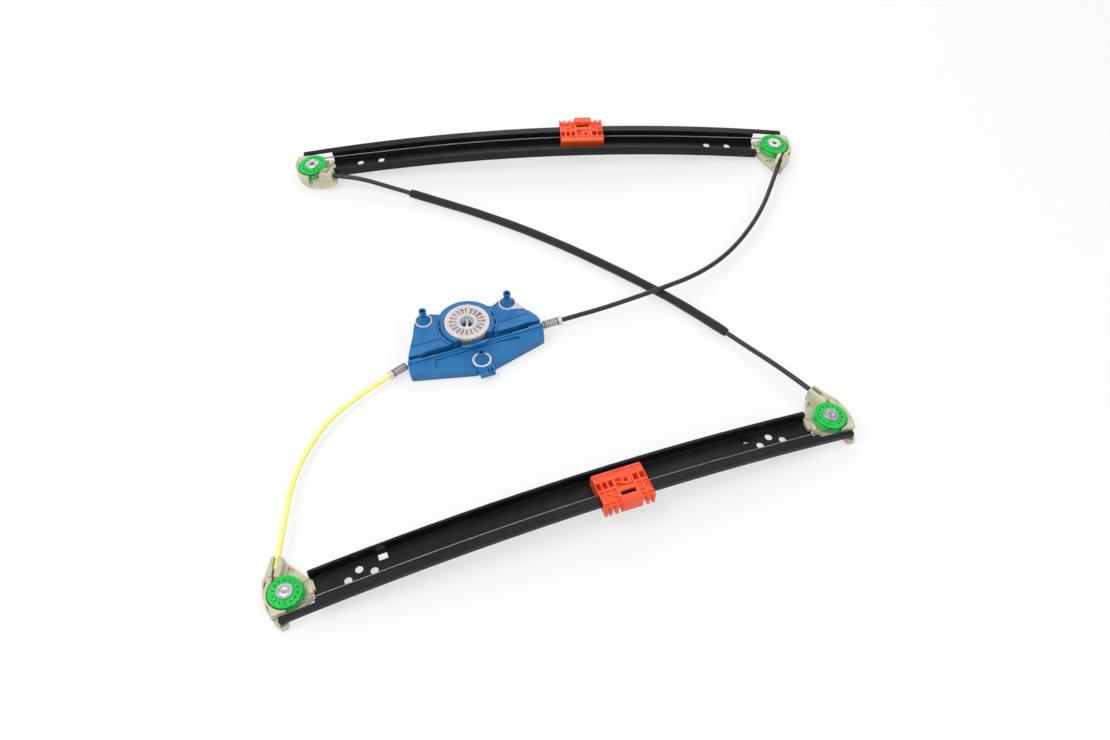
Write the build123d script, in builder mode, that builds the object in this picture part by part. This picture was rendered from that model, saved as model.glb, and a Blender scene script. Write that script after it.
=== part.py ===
from build123d import *
import math
import os

os.makedirs("parts", exist_ok=True)

# Window regulator with two arched rails. All sizes in millimetres.
# The origin is on the axis of the cable drum, at its face, and +Z is up.
# Each rail is drawn in its own frame: x along the rail, y towards the outer lip,
# z away from the centre of the arch, with the pulley mid-plane at z = 0.

# Driving sizes
arch_radius = 1920.0
pulley_reach = 269.0
upper_mid = (78.5, 265.4, 8.0)
upper_turn = 3.9
lower_mid = (105.9, -210.5, 8.0)
lower_turn = 200.95
housing_turn = 20.95

sheet = 1.5
web_top = -8.5
web_end = pulley_reach - 22.0
lip_end = pulley_reach + 12.0
lip_top = 2.4
lip_in = 17.0
lip_out = 26.1
lip_drop = 6.0
flange_out = -12.5
flange_in = -9.5

wire_r = 0.7
wire_line = 13.3
wire_sink = 2.5
pulley_r = 16.0
pulley_half = 3.8
axle_r = 4.0
running_gap = 0.08
seat_gap = 0.05
slide_gap = 0.35

floor_low = -9.5
floor_top = -5.0
socket_depth = 12.0
sheath_r = 2.5
foam_r = 4.7

carrier_at = 43.0
carrier_half = 24.5
carrier_top = 5.7
carrier_in = -3.5
carrier_out = 32.5

drum_r = 23.4
winding_r = 22.5
drum_deep = 19.4
socket_r = 7.4
socket_deep = 5.0
spigot_r = 6.8
well_r = drum_r + 0.8
plate_top = -5.0
case_low = -19.8
cover_low = -22.0
right_wire_z = -12.6
left_wire_z = -14.4
left_tilt = 18.9

upper_rail_at = Location(upper_mid, (0, 0, upper_turn))
lower_rail_at = Location(lower_mid, (0, 0, lower_turn))
housing_at = Location((0, 0, 0), (0, 0, housing_turn))


# A place on a rail: s along the arch, y across, w above the pulley mid-plane
def on_arch(s, y=0.0, w=0.0):
    lean = math.degrees(s / arch_radius)
    return Location((0, 0, -arch_radius)) * Rotation(0, lean, 0) * Location((0, y, arch_radius + w))


# The plane square to the rail at s, with its own x across the rail
def across_arch(s):
    lean = s / arch_radius
    spot = (arch_radius * math.sin(lean), 0, arch_radius * math.cos(lean) - arch_radius)
    return Plane(origin=spot, x_dir=(0, 1, 0), z_dir=(math.cos(lean), 0, -math.sin(lean)))


arch_axis = Axis((0, 0, -arch_radius), (0, 1, 0))


def arch_sweep(outline, s_from, s_to, bend):
    with BuildPart() as run:
        with BuildSketch(across_arch(s_from)) as section:
            with BuildLine():
                Polyline(*outline, close=True)
            make_face()
            fillet(section.vertices(), bend)
        revolve(axis=arch_axis, revolution_arc=math.degrees((s_to - s_from) / arch_radius))
    return run.part


# Rails: a web with a hemmed flange inside and a stepped lip outside
lip_low = lip_top - lip_drop
rail_outline = [
    (flange_out, lip_top),
    (flange_in, lip_top),
    (flange_in, web_top),
    (lip_in, web_top),
    (lip_in, lip_top),
    (lip_out, lip_top),
    (lip_out, lip_low),
    (lip_out - sheet, lip_low),
    (lip_out - sheet, lip_top - sheet),
    (lip_in + sheet, lip_top - sheet),
    (lip_in + sheet, web_top - sheet),
    (flange_out + sheet, web_top - sheet),
    (flange_out + sheet, web_top + 2.9),
    (flange_out, web_top + 2.9),
]
lip_outline = [
    (lip_in + 3.5, lip_top),
    (lip_out, lip_top),
    (lip_out, lip_low),
    (lip_out - sheet, lip_low),
    (lip_out - sheet, lip_top - sheet),
    (lip_in + 3.5, lip_top - sheet),
]
hole_r = 3.75
hole_places = [(pulley_reach - 78.0, 6.1), (pulley_reach - 65.5, -0.5), (pulley_reach - 53.5, 6.1)]
end_round = 4.0

rail_run = arch_sweep(rail_outline, -web_end, web_end, 0.6)
lip_run = arch_sweep(lip_outline, -lip_end, lip_end, 0.6)

# Rounds off the upper corner of an upright wall that ends at the origin
with BuildPart() as corner_cut:
    with Locations((-end_round / 2 + 0.5, 0, -end_round / 2 + 0.5)):
        Box(end_round + 1.0, 5.0, end_round + 1.0)
    with Locations(Location((-end_round, 0, -end_round), (90, 0, 0))):
        Cylinder(radius=end_round, height=8.0, mode=Mode.SUBTRACT)
flange_mid = (flange_out + flange_in) / 2
near_corner = on_arch(-web_end, flange_mid, lip_top) * Location((0, 0, 0), (0, 0, 180)) * corner_cut.part
far_corner = on_arch(web_end, flange_mid, lip_top) * corner_cut.part

with BuildPart() as rail_blank:
    add(rail_run)
    add(lip_run)
    add(near_corner, mode=Mode.SUBTRACT)
    add(far_corner, mode=Mode.SUBTRACT)
    for s, y in hole_places:
        for side in (-1, 1):
            with Locations(on_arch(side * s, y, web_top - sheet / 2)):
                Cylinder(radius=hole_r, height=4 * sheet, mode=Mode.SUBTRACT)

rail_upper_placed = upper_rail_at * rail_blank.part
with BuildPart() as rail_upper:
    add(rail_upper_placed)
rail_upper.part.label = "rail_upper"
export_step(rail_upper.part, "parts/rail_upper.step")

# The lower rail also has a square hole at one end and a raised stop tab at the other
square_at = pulley_reach - 89.0
tab_at = pulley_reach - 88.0
with BuildPart() as rail_lower_blank:
    add(rail_blank.part)
    with Locations(on_arch(square_at, -4.6, web_top - sheet / 2)):
        Box(8.5, 6.5, 4 * sheet, mode=Mode.SUBTRACT)
    with Locations(on_arch(-tab_at, -3.7, web_top - sheet / 2)):
        Box(9.0, 7.0, 4 * sheet, mode=Mode.SUBTRACT)
    with Locations(on_arch(-tab_at, -3.7, web_top + 0.4) * Rotation(0, -18, 0)):
        Box(10.5, 6.0, sheet)
rail_lower_placed = lower_rail_at * rail_lower_blank.part
with BuildPart() as rail_lower:
    add(rail_lower_placed)
rail_lower.part.label = "rail_lower"
export_step(rail_lower.part, "parts/rail_lower.step")

# Pulley brackets: outline points are (outboard, inward) from the pulley axis
corner_outline = [
    (-8.5, 30.0),
    (5.5, 35.5),
    (17.0, 18.0),
    (20.5, 4.0),
    (20.0, -10.0),
    (17.0, -22.0),
    (13.0, -29.0),
    (6.5, -28.5),
    (5.0, -18.5),
    (-3.0, -16.8),
    (-11.0, -15.0),
    (-20.0, -12.0),
    (-20.0, -5.5),
    (-24.5, -4.5),
    (-24.5, 5.0),
    (-21.0, 9.0),
]
return_outline = [
    (-27.5, 13.5),
    (-27.5, 28.0),
    (-10.0, 29.0),
    (6.0, 24.5),
    (16.0, 13.0),
    (20.5, 0.0),
    (20.0, -10.0),
    (17.0, -22.0),
    (13.0, -29.0),
    (6.5, -28.5),
    (5.0, -18.5),
    (-3.0, -16.8),
    (-11.0, -15.0),
    (-20.0, -12.0),
    (-20.0, -5.5),
    (-24.5, -4.5),
    (-24.5, 5.0),
    (-21.0, 9.0),
]
corner_turn = 23.4
corner_reach = 34.0
return_turn = 74.8
return_reach = 29.0
mid_socket = socket_depth / 2


# A point beside a pulley, dist along the wire that leaves it at the given turn
def leaving(turn, dist, side_step=0.0):
    a = math.radians(turn)
    out = (wire_line + side_step) * math.cos(a) - dist * math.sin(a)
    inward = (wire_line + side_step) * math.sin(a) + dist * math.cos(a)
    return (out, inward)


# The frame whose x follows the leaving wire, at dist from the pulley's tangent
def leaving_at(end, turn, dist, w=0.0):
    out, inward = leaving(turn, dist)
    heading = math.degrees(math.atan2(-math.cos(math.radians(turn)), -end * math.sin(math.radians(turn))))
    return Location((end * out, -inward, w), (0, 0, heading))


def bracket(end, outline, turn, reach):
    corners = [(end * out, -inward) for out, inward in outline]
    boss_long = reach - 14.0
    boss_high = 5.2 - floor_low
    with BuildPart() as body:
        with BuildSketch(Plane.XY.offset(floor_low)) as plate:
            with BuildLine():
                Polyline(*corners, close=True)
            make_face()
            fillet(plate.vertices(), 1.2)
        extrude(amount=floor_top - floor_low)
        with BuildSketch(Plane.XY.offset(floor_top)) as rim:
            with BuildLine():
                Polyline(*corners, close=True)
            make_face()
            fillet(rim.vertices(), 1.2)
            Circle(pulley_r + 1.2, mode=Mode.SUBTRACT)
            with Locations((-end * 22.0, 0)):
                Rectangle(52.0, 80.0, mode=Mode.SUBTRACT)
            with Locations((end * 10.0, 27.0)):
                Rectangle(60.0, 18.0, mode=Mode.SUBTRACT)
        extrude(amount=2.2 - floor_top)
        with Locations(leaving_at(end, turn, 14.0 + boss_long / 2, floor_low + boss_high / 2)):
            Box(boss_long, 11.0, boss_high)
        # the lug that sits inside the lip
        with Locations((end * 10.5, 22.5, floor_top + 2.8)):
            Box(5.0, 3.0, 5.6)
        # clearance under the tongue for the web of the rail
        with Locations((-end * 27.0, 0, floor_low)):
            Box(10.2, 60.0, 2 * (web_top + seat_gap - floor_low), mode=Mode.SUBTRACT)
        with Locations((-end * 27.0, -11.0, 0)):
            Box(10.2, 3.4, 30.0, mode=Mode.SUBTRACT)
        Cylinder(radius=axle_r + seat_gap, height=40.0, mode=Mode.SUBTRACT)
        # the pulley's own space
        with Locations((0, 0, floor_top + 10.0)):
            Cylinder(radius=pulley_r + 0.7, height=20.0, mode=Mode.SUBTRACT)
        # wire groove, then the socket for the end of the sheath
        with Locations(leaving_at(end, turn, reach / 2, 0)):
            Box(reach, 2.6, 2.6, mode=Mode.SUBTRACT)
        with Locations(leaving_at(end, turn, 8.0, 5.0)):
            Box(16.0, 2.6, 12.0, mode=Mode.SUBTRACT)
        with Locations(leaving_at(end, turn, reach - mid_socket + 2.0, 0) * Rotation(0, 90, 0)):
            Cylinder(radius=sheath_r + seat_gap, height=socket_depth + 4.0, mode=Mode.SUBTRACT)
    return body.part


upper_left_at = upper_rail_at * on_arch(-pulley_reach)
upper_right_at = upper_rail_at * on_arch(pulley_reach)
lower_left_at = lower_rail_at * on_arch(pulley_reach)
lower_right_at = lower_rail_at * on_arch(-pulley_reach)

ul_solid = upper_left_at * bracket(-1, return_outline, return_turn, return_reach)
with BuildPart() as bracket_upper_left:
    add(ul_solid)
bracket_upper_left.part.label = "bracket_upper_left"
export_step(bracket_upper_left.part, "parts/bracket_upper_left.step")

ur_solid = upper_right_at * bracket(1, corner_outline, corner_turn, corner_reach)
with BuildPart() as bracket_upper_right:
    add(ur_solid)
bracket_upper_right.part.label = "bracket_upper_right"
export_step(bracket_upper_right.part, "parts/bracket_upper_right.step")

ll_solid = lower_left_at * bracket(1, corner_outline, corner_turn, corner_reach)
with BuildPart() as bracket_lower_left:
    add(ll_solid)
bracket_lower_left.part.label = "bracket_lower_left"
export_step(bracket_lower_left.part, "parts/bracket_lower_left.step")

lr_solid = lower_right_at * bracket(-1, corner_outline, corner_turn, corner_reach)
with BuildPart() as bracket_lower_right:
    add(lr_solid)
bracket_lower_right.part.label = "bracket_lower_right"
export_step(bracket_lower_right.part, "parts/bracket_lower_right.step")

# Hollow rivets that the pulleys turn on
head_r = 7.7
with BuildPart() as axle_blank:
    with Locations((0, 0, (pulley_half + floor_low) / 2)):
        Cylinder(radius=axle_r, height=pulley_half - floor_low + 0.9)
    with Locations((0, 0, pulley_half + 1.05)):
        Cylinder(radius=head_r, height=1.3)
    with Locations((0, 0, floor_low - 0.7)):
        Cylinder(radius=6.0, height=1.3)
    with Locations((0, 0, pulley_half + 1.0)):
        Cylinder(radius=2.2, height=3.0, mode=Mode.SUBTRACT)
pulley_places = [upper_left_at, upper_right_at, lower_left_at, lower_right_at]
axle_solids = [spot * axle_blank.part for spot in pulley_places]
with BuildPart() as pulley_axles:
    for solid in axle_solids:
        add(solid)
pulley_axles.part.label = "pulley_axles"
export_step(pulley_axles.part, "parts/pulley_axles.step")

# Pulleys: grooved wheels with a ring of small lightening holes
groove_r = wire_line - wire_r - 0.3
with BuildPart() as pulley_blank:
    with BuildSketch(Plane.XZ):
        with BuildLine():
            Polyline(
                (axle_r + running_gap, -pulley_half),
                (pulley_r, -pulley_half),
                (pulley_r, -2.7),
                (groove_r, -1.1),
                (groove_r, 1.1),
                (pulley_r, 2.7),
                (pulley_r, pulley_half),
                (axle_r + running_gap, pulley_half),
                close=True,
            )
        make_face()
    revolve(axis=Axis.Z)
    with Locations((0, 0, pulley_half)):
        with PolarLocations(10.6, 14):
            Cylinder(radius=1.1, height=5.0, mode=Mode.SUBTRACT)

pulley_names = ["pulley_upper_left", "pulley_upper_right", "pulley_lower_left", "pulley_lower_right"]
for pulley_name, spot in zip(pulley_names, pulley_places):
    pulley_placed = spot * pulley_blank.part
    with BuildPart() as pulley:
        add(pulley_placed)
    pulley.part.label = pulley_name
    export_step(pulley.part, f"parts/{pulley_name}.step")


# Steel wire of one rail: straight off each pulley, then along the arch; its turns are separate
wire_arch = arch_radius - wire_sink
wire_touch = math.acos(wire_arch / arch_radius)
pulley_lean = pulley_reach / arch_radius


def wrap(end, turn, reach):
    start = leaving(turn, reach - socket_depth)
    tangent = leaving(turn, 0.0)
    with BuildPart() as piece:
        with BuildLine() as path:
            ThreePointArc(
                (0, wire_line),
                (end * wire_line * math.cos(math.radians(45 - turn / 2)),
                 wire_line * math.sin(math.radians(45 - turn / 2))),
                (end * tangent[0], -tangent[1]),
            )
            Line((end * tangent[0], -tangent[1]), (end * start[0], -start[1]))
        with BuildSketch(Plane(origin=(0, wire_line, 0), z_dir=(1, 0, 0))):
            Circle(wire_r)
        sweep(path=path.wire())
    return piece.part


def rail_wire():
    free = pulley_lean - wire_touch
    pulley_x = arch_radius * math.sin(pulley_lean)
    pulley_z = arch_radius * math.cos(pulley_lean) - arch_radius
    touch_x = wire_arch * math.sin(free)
    touch_z = wire_arch * math.cos(free) - arch_radius
    mid_z = wire_arch - arch_radius
    end_x = pulley_x - 0.001 * (pulley_x - touch_x)
    end_z = pulley_z - 0.001 * (pulley_z - touch_z)
    with BuildPart() as piece:
        with BuildLine() as path:
            Line((-end_x, wire_line, end_z), (-touch_x, wire_line, touch_z))
            ThreePointArc((-touch_x, wire_line, touch_z), (0, wire_line, mid_z), (touch_x, wire_line, touch_z))
            Line((touch_x, wire_line, touch_z), (end_x, wire_line, end_z))
        heading = (end_x - touch_x, 0, touch_z - end_z)
        with BuildSketch(Plane(origin=(-end_x, wire_line, end_z), z_dir=heading)):
            Circle(wire_r)
        sweep(path=path.wire())
    return piece.part


upper_run = upper_rail_at * rail_wire()
with BuildPart() as wire_upper:
    add(upper_run)
wire_upper.part.label = "wire_upper"
export_step(wire_upper.part, "parts/wire_upper.step")

lower_run = lower_rail_at * rail_wire()
with BuildPart() as wire_lower:
    add(lower_run)
wire_lower.part.label = "wire_lower"
export_step(wire_lower.part, "parts/wire_lower.step")

turn_solids = [
    upper_left_at * wrap(-1, return_turn, return_reach),
    upper_right_at * wrap(1, corner_turn, corner_reach),
    lower_left_at * wrap(1, corner_turn, corner_reach),
    lower_right_at * wrap(-1, corner_turn, corner_reach),
]
with BuildPart() as wire_turns:
    for solid in turn_solids:
        add(solid)
wire_turns.part.label = "wire_turns"
export_step(wire_turns.part, "parts/wire_turns.step")


# Glass carriers: a ribbed plate that grips the outer lip. hand flips it end for end.
rib = 1.6
grip_in = lip_in - slide_gap
over_lip = lip_top + slide_gap + 0.05
under_lip = lip_low - slide_gap - 0.2
beside_lip = lip_out + slide_gap
rib_places = [-24.5, -18.6, -12.7, -6.8, 11.4, 17.9, 24.5]
ferrule_places = [-13.5, 13.5]
ferrule_r = 1.9
ferrule_long = 7.0


def carrier(hand):
    width = carrier_out - carrier_in
    with BuildPart() as body:
        # deck over the rail
        with BuildSketch(Plane.XY.offset(over_lip)) as deck:
            with Locations((0, (carrier_in + carrier_out) / 2)):
                Rectangle(2 * carrier_half, width)
            fillet(deck.vertices(), 1.5)
        extrude(amount=carrier_top - over_lip)
        # keel inside the rail, beside the lip wall
        with BuildSketch(Plane.XY.offset(web_top + 0.6)):
            with Locations((0, (carrier_in + grip_in) / 2)):
                Rectangle(2 * carrier_half, grip_in - carrier_in)
        extrude(amount=over_lip - web_top - 0.6)
        # fingers outside the lip, each with a hook below it
        for x in rib_places:
            left = max(min(hand * x, carrier_half - 1.4), 1.4 - carrier_half)
            with Locations((left, (beside_lip + carrier_out + 1.5) / 2, (carrier_top - 7.8) / 2)):
                Box(2.8, carrier_out + 1.5 - beside_lip, carrier_top + 7.8)
            with Locations((left, (lip_out - 2.4 + carrier_out) / 2, (under_lip - 7.8) / 2)):
                Box(2.8, carrier_out - lip_out + 2.4, 7.8 + under_lip)
        # clamp block at the outer edge
        with BuildSketch(Plane.XY.offset(-6.0)) as block:
            with Locations((hand * 2.5, (beside_lip + 35.0) / 2)):
                Rectangle(19.0, 35.0 - beside_lip)
            fillet(block.vertices(), 1.0)
        extrude(amount=6.0 + carrier_top + 2.2)
        # pockets between the ribs: shallow inside, deep in the middle, shallow over the lip
        for low, high in zip(rib_places[:-1], rib_places[1:]):
            cell = high - low - rib
            mid = hand * (low + high) / 2
            if cell > 12.0:
                continue
            with Locations((mid, 1.6, carrier_top)):
                Box(cell, 6.4, 3.0, mode=Mode.SUBTRACT)
            with Locations((mid, 9.6, carrier_top)):
                Box(cell, 6.4, 16.0, mode=Mode.SUBTRACT)
            with Locations((mid, 22.2, carrier_top)):
                Box(cell, 9.0, 3.6, mode=Mode.SUBTRACT)
        # middle of the plate: recess, screw boss and the slot of the clamp
        with Locations((hand * 2.3, 1.8, carrier_top)):
            Box(15.0, 7.0, 2.4, mode=Mode.SUBTRACT)
        with Locations((hand * 2.3, 11.6, carrier_top)):
            Box(15.0, 9.4, 7.0, mode=Mode.SUBTRACT)
        with Locations((hand * 5.0, 9.8, carrier_top - 4.3)):
            Cylinder(radius=5.0, height=7.4)
        with Locations((hand * 5.0, 9.8, 0)):
            Cylinder(radius=2.1, height=40.0, mode=Mode.SUBTRACT)
        with Locations((hand * 2.3, 23.4, carrier_top)):
            Box(15.0, 5.6, 20.0, mode=Mode.SUBTRACT)
        # groove for the wire and the seats of the two ferrules
        groove_top = -wire_sink + wire_r + 1.6
        with Locations((0, wire_line, (groove_top - 12.0) / 2)):
            Box(60.0, 2 * (wire_r + slide_gap), groove_top + 12.0, mode=Mode.SUBTRACT)
        for x in ferrule_places:
            with Locations((x, wire_line, -wire_sink - 2.0)):
                Box(ferrule_long + 0.1, 2 * ferrule_r + 0.1, 4.0 + 2 * ferrule_r + 0.1, mode=Mode.SUBTRACT)
    return body.part


with BuildPart() as ferrule_pair:
    for x in ferrule_places:
        with Locations(Location((x, wire_line, -wire_sink), (0, 90, 0))):
            Cylinder(radius=ferrule_r, height=ferrule_long)
            Cylinder(radius=wire_r + slide_gap, height=ferrule_long, mode=Mode.SUBTRACT)

upper_carrier_at = upper_rail_at * on_arch(carrier_at)
lower_carrier_at = lower_rail_at * on_arch(-carrier_at)

carrier_upper_placed = upper_carrier_at * carrier(1)
with BuildPart() as carrier_upper:
    add(carrier_upper_placed)
carrier_upper.part.label = "carrier_upper"
export_step(carrier_upper.part, "parts/carrier_upper.step")

carrier_lower_placed = lower_carrier_at * carrier(-1)
with BuildPart() as carrier_lower:
    add(carrier_lower_placed)
carrier_lower.part.label = "carrier_lower"
export_step(carrier_lower.part, "parts/carrier_lower.step")

upper_ferrules = upper_carrier_at * ferrule_pair.part
with BuildPart() as ferrules_upper:
    add(upper_ferrules)
ferrules_upper.part.label = "ferrules_upper"
export_step(ferrules_upper.part, "parts/ferrules_upper.step")

lower_ferrules = lower_carrier_at * ferrule_pair.part
with BuildPart() as ferrules_lower:
    add(lower_ferrules)
ferrules_lower.part.label = "ferrules_lower"
export_step(ferrules_lower.part, "parts/ferrules_lower.step")

# Drum housing, drawn with x along its wire slit
case_outline = [
    (-71.0, -25.0),
    (-71.5, -38.0),
    (-9.0, -54.5),
    (9.0, -54.5),
    (70.0, -38.0),
    (73.0, -26.0),
    (71.0, -14.0),
    (66.0, -5.0),
    (58.0, 4.0),
    (55.0, 17.0),
    (44.0, 21.0),
    (32.0, 15.0),
    (20.0, 21.0),
    (-20.0, 22.0),
    (-31.0, 27.0),
    (-44.0, 29.0),
    (-50.5, 20.0),
    (-56.0, 6.0),
    (-65.0, -12.0),
]
ring_r = 27.6
ring_top = -1.2
slit_near = -27.0
slit_far = -20.0
far_posts = [(-40.5, 19.6), (47.9, 12.1)]
near_post = (0.5, -45.0)
near_base = -11.0
far_post_top = 12.0
near_post_top = 2.0
post_bore = 2.2
slot_reach = ring_r + 1.1
slot_turns = [-36.0, -15.0, 6.0, 158.0, 176.0, 192.0, 207.0, 221.0]

with BuildPart() as case_blank:
    with BuildSketch(Plane.XY.offset(case_low)) as case_plan:
        with BuildLine():
            Polyline(*case_outline, close=True)
        make_face()
        fillet(case_plan.vertices(), 2.5)
    extrude(amount=plate_top - case_low)
    # the near side slopes down from the slit
    with BuildSketch(Plane.YZ):
        with BuildLine():
            Polyline((-27.0, plate_top - 1.0), (-80.0, -22.0), (-80.0, 5.0), (-27.0, 5.0), close=True)
        make_face()
    extrude(amount=90.0, both=True, mode=Mode.SUBTRACT)
    # ring round the drum, notched at the back
    with Locations((0, 0, (case_low + ring_top) / 2)):
        Cylinder(radius=ring_r, height=ring_top - case_low)
    with Locations(Location((8.7, 25.0, ring_top), (0, 0, -18.0))):
        Box(3.0, 8.0, 5.0, mode=Mode.SUBTRACT)
    # short slots that set the ring off from the plate
    for turn in slot_turns:
        with Locations(Rotation(0, 0, turn) * Location((slot_reach, 0, plate_top))):
            Box(1.0, 7.0, 4.0, mode=Mode.SUBTRACT)
    # flat for the near grommet
    with Locations((near_post[0], near_post[1], near_base + 8.95)):
        Cylinder(radius=10.2, height=20.0, mode=Mode.SUBTRACT)
    # hollow posts for the screws of the motor
    for x, y in far_posts:
        with Locations((x, y, plate_top + 3.0)):
            Cone(bottom_radius=7.4, top_radius=4.0, height=6.0)
        with Locations((x, y, (plate_top + far_post_top) / 2)):
            Cylinder(radius=3.4, height=far_post_top - plate_top)
    with Locations((near_post[0], near_post[1], near_base + 1.95)):
        Cone(bottom_radius=7.4, top_radius=4.0, height=6.0)
    with Locations((near_post[0], near_post[1], (case_low + near_post_top) / 2)):
        Cylinder(radius=3.4, height=near_post_top - case_low)
    # clip for the wiring at the near edge
    with Locations((1.0, -58.5, -15.6)):
        Box(16.0, 11.0, 6.0)
    with Locations(Location((1.0, -59.5, -18.6), (0, 90, 0))):
        Cylinder(radius=3.4, height=20.0, mode=Mode.SUBTRACT)
    # drum well, slit for the wires and the screw bores
    Cylinder(radius=well_r, height=60.0, mode=Mode.SUBTRACT)
    with Locations((0, (slit_near + slit_far) / 2, 0)):
        Box(180.0, slit_far - slit_near, 36.8, mode=Mode.SUBTRACT)
    for x, y in far_posts + [near_post]:
        with Locations((x, y, 0)):
            Cylinder(radius=post_bore, height=60.0, mode=Mode.SUBTRACT)
    # hollows from below
    with Locations((-43.0, -3.0, case_low)):
        Box(26.0, 22.0, 22.0, mode=Mode.SUBTRACT)
    with Locations((46.0, -6.0, case_low)):
        Box(26.0, 18.0, 22.0, mode=Mode.SUBTRACT)
case_solid = housing_at * case_blank.part
with BuildPart() as drum_housing:
    add(case_solid)
drum_housing.part.label = "drum_housing"
export_step(drum_housing.part, "parts/drum_housing.step")

# Cover under the housing, with the spigot the drum turns on
with BuildPart() as cover_blank:
    with BuildSketch(Plane.XY.offset(cover_low)) as cover_plan:
        with BuildLine():
            Polyline(*case_outline, close=True)
        make_face()
        fillet(cover_plan.vertices(), 2.5)
    extrude(amount=case_low - cover_low)
    with Locations((0, 0, (cover_low - 9.0) / 2)):
        Cylinder(radius=spigot_r, height=-9.0 - cover_low)
    with Locations((0, 0, -9.0)):
        Cylinder(radius=4.2, height=6.0, mode=Mode.SUBTRACT)
    for x, y in far_posts + [near_post]:
        with Locations((x, y, cover_low)):
            Cylinder(radius=post_bore, height=10.0, mode=Mode.SUBTRACT)
cover_solid = housing_at * cover_blank.part
with BuildPart() as housing_cover:
    add(cover_solid)
housing_cover.part.label = "housing_cover"
export_step(housing_cover.part, "parts/housing_cover.step")

# Pale grommets round the feet of the posts; the right one has a tab
with BuildPart() as grommet_blank:
    for x, y in far_posts:
        with Locations((x, y, plate_top + 0.8)):
            Cylinder(radius=9.0, height=1.5)
    with BuildSketch(Plane.XY.offset(plate_top + 0.05)):
        with BuildLine():
            Polyline((50.0, 20.0), (62.0, -1.0), (50.0, 3.0), close=True)
        make_face()
    extrude(amount=1.5)
    with Locations((near_post[0], near_post[1], near_base - 0.2)):
        Cylinder(radius=9.9, height=1.5)
    for x, y in far_posts + [near_post]:
        with Locations((x, y, 0)):
            Cylinder(radius=7.45, height=60.0, mode=Mode.SUBTRACT)
grommet_solids = housing_at * grommet_blank.part
with BuildPart() as grommets:
    add(grommet_solids)
grommets.part.label = "grommets"
export_step(grommets.part, "parts/grommets.step")

# Liners that lie in the slit near its ends
with BuildPart() as liner_blank:
    for side in (-1, 1):
        with Locations((side * 49.0, slit_near + 1.15, (-18.2 - 7.4) / 2)):
            Box(16.0, 2.1, 10.8)
liner_solids = housing_at * liner_blank.part
with BuildPart() as slit_liners:
    add(liner_solids)
slit_liners.part.label = "slit_liners"
export_step(slit_liners.part, "parts/slit_liners.step")

# Drum: flanged core with radial pockets in its face and a bar across the hub
with BuildPart() as drum_blank:
    with Locations((0, 0, -drum_deep / 2)):
        Cylinder(radius=21.8, height=drum_deep)
    with Locations((0, 0, -2.0)):
        Cylinder(radius=drum_r, height=4.0)
    with Locations((0, 0, 0.7 - drum_deep)):
        Cylinder(radius=drum_r, height=1.4)
    with PolarLocations(13.9, 20):
        Box(8.0, 2.7, 3.0, mode=Mode.SUBTRACT)
    with Locations((0, 0, -socket_deep / 2)):
        Cylinder(radius=socket_r, height=socket_deep, mode=Mode.SUBTRACT)
    Cylinder(radius=spigot_r + running_gap, height=60.0, mode=Mode.SUBTRACT)
    with Locations(Location((0, 0, -socket_deep - 1.4), (0, 0, 69.0))):
        Box(14.4, 2.2, 2.8)
drum_solid = housing_at * drum_blank.part
with BuildPart() as drum:
    add(drum_solid)
drum.part.label = "drum"
export_step(drum.part, "parts/drum.step")

# Wire wound on the drum, drawn as a ridged sleeve with one ridge to a turn
turn_pitch = 1.5
turns = 8
first_turn = -17.2
ridge_points = [(21.85, first_turn)]
for k in range(turns):
    ridge_points.append((winding_r - 0.1, first_turn + k * turn_pitch))
    ridge_points.append((winding_r + wire_r, first_turn + (k + 0.5) * turn_pitch))
ridge_points.append((winding_r - 0.1, first_turn + turns * turn_pitch))
ridge_points.append((21.85, first_turn + turns * turn_pitch))
with BuildPart() as drum_windings:
    with BuildSketch(Plane.XZ):
        with BuildLine():
            Polyline(*ridge_points, close=True)
        make_face()
    revolve(axis=Axis.Z)
drum_windings.part.label = "drum_windings"
export_step(drum_windings.part, "parts/drum_windings.step")

# The two wires between the drum and the ends of the slit
exit_x = 73.2
with BuildPart() as drum_wire_blank:
    with Locations(Location(((9.6 + exit_x) / 2, -winding_r, right_wire_z), (0, 90, 0))):
        Cylinder(radius=wire_r, height=exit_x - 9.6)
    with Locations(Location((-(9.6 + 71.0) / 2, -winding_r, left_wire_z), (0, 90, 0))):
        Cylinder(radius=wire_r, height=71.0 - 9.6)
drum_wire_solids = housing_at * drum_wire_blank.part
with BuildPart() as wire_drum:
    add(drum_wire_solids)
wire_drum.part.label = "wire_drum"
export_step(wire_drum.part, "parts/wire_drum.step")

# Spring-loaded end sleeves; each is drawn along its own x from the end of the slit
right_sleeve_at = housing_at * Location((exit_x + 0.4, -winding_r, right_wire_z))
left_sleeve_at = housing_at * Location((-72.2, -winding_r, left_wire_z), (0, 0, 180.0 + left_tilt))
sleeve_long = 21.0
sleeve_seat = 10.0

with BuildPart() as sleeve_blank:
    with BuildSketch(Plane.XZ):
        with BuildLine():
            Polyline(
                (0, 1.2),
                (0, 3.2),
                (17.6, 3.2),
                (17.6, 4.6),
                (sleeve_long, 4.6),
                (sleeve_long, sheath_r + seat_gap),
                (sleeve_long - sleeve_seat, sheath_r + seat_gap),
                (sleeve_long - sleeve_seat, 1.2),
                close=True,
            )
        make_face()
    revolve(axis=Axis.X)
sleeve_solids = [right_sleeve_at * sleeve_blank.part, left_sleeve_at * sleeve_blank.part]
with BuildPart() as end_sleeves:
    for solid in sleeve_solids:
        add(solid)
end_sleeves.part.label = "end_sleeves"
export_step(end_sleeves.part, "parts/end_sleeves.step")

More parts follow.
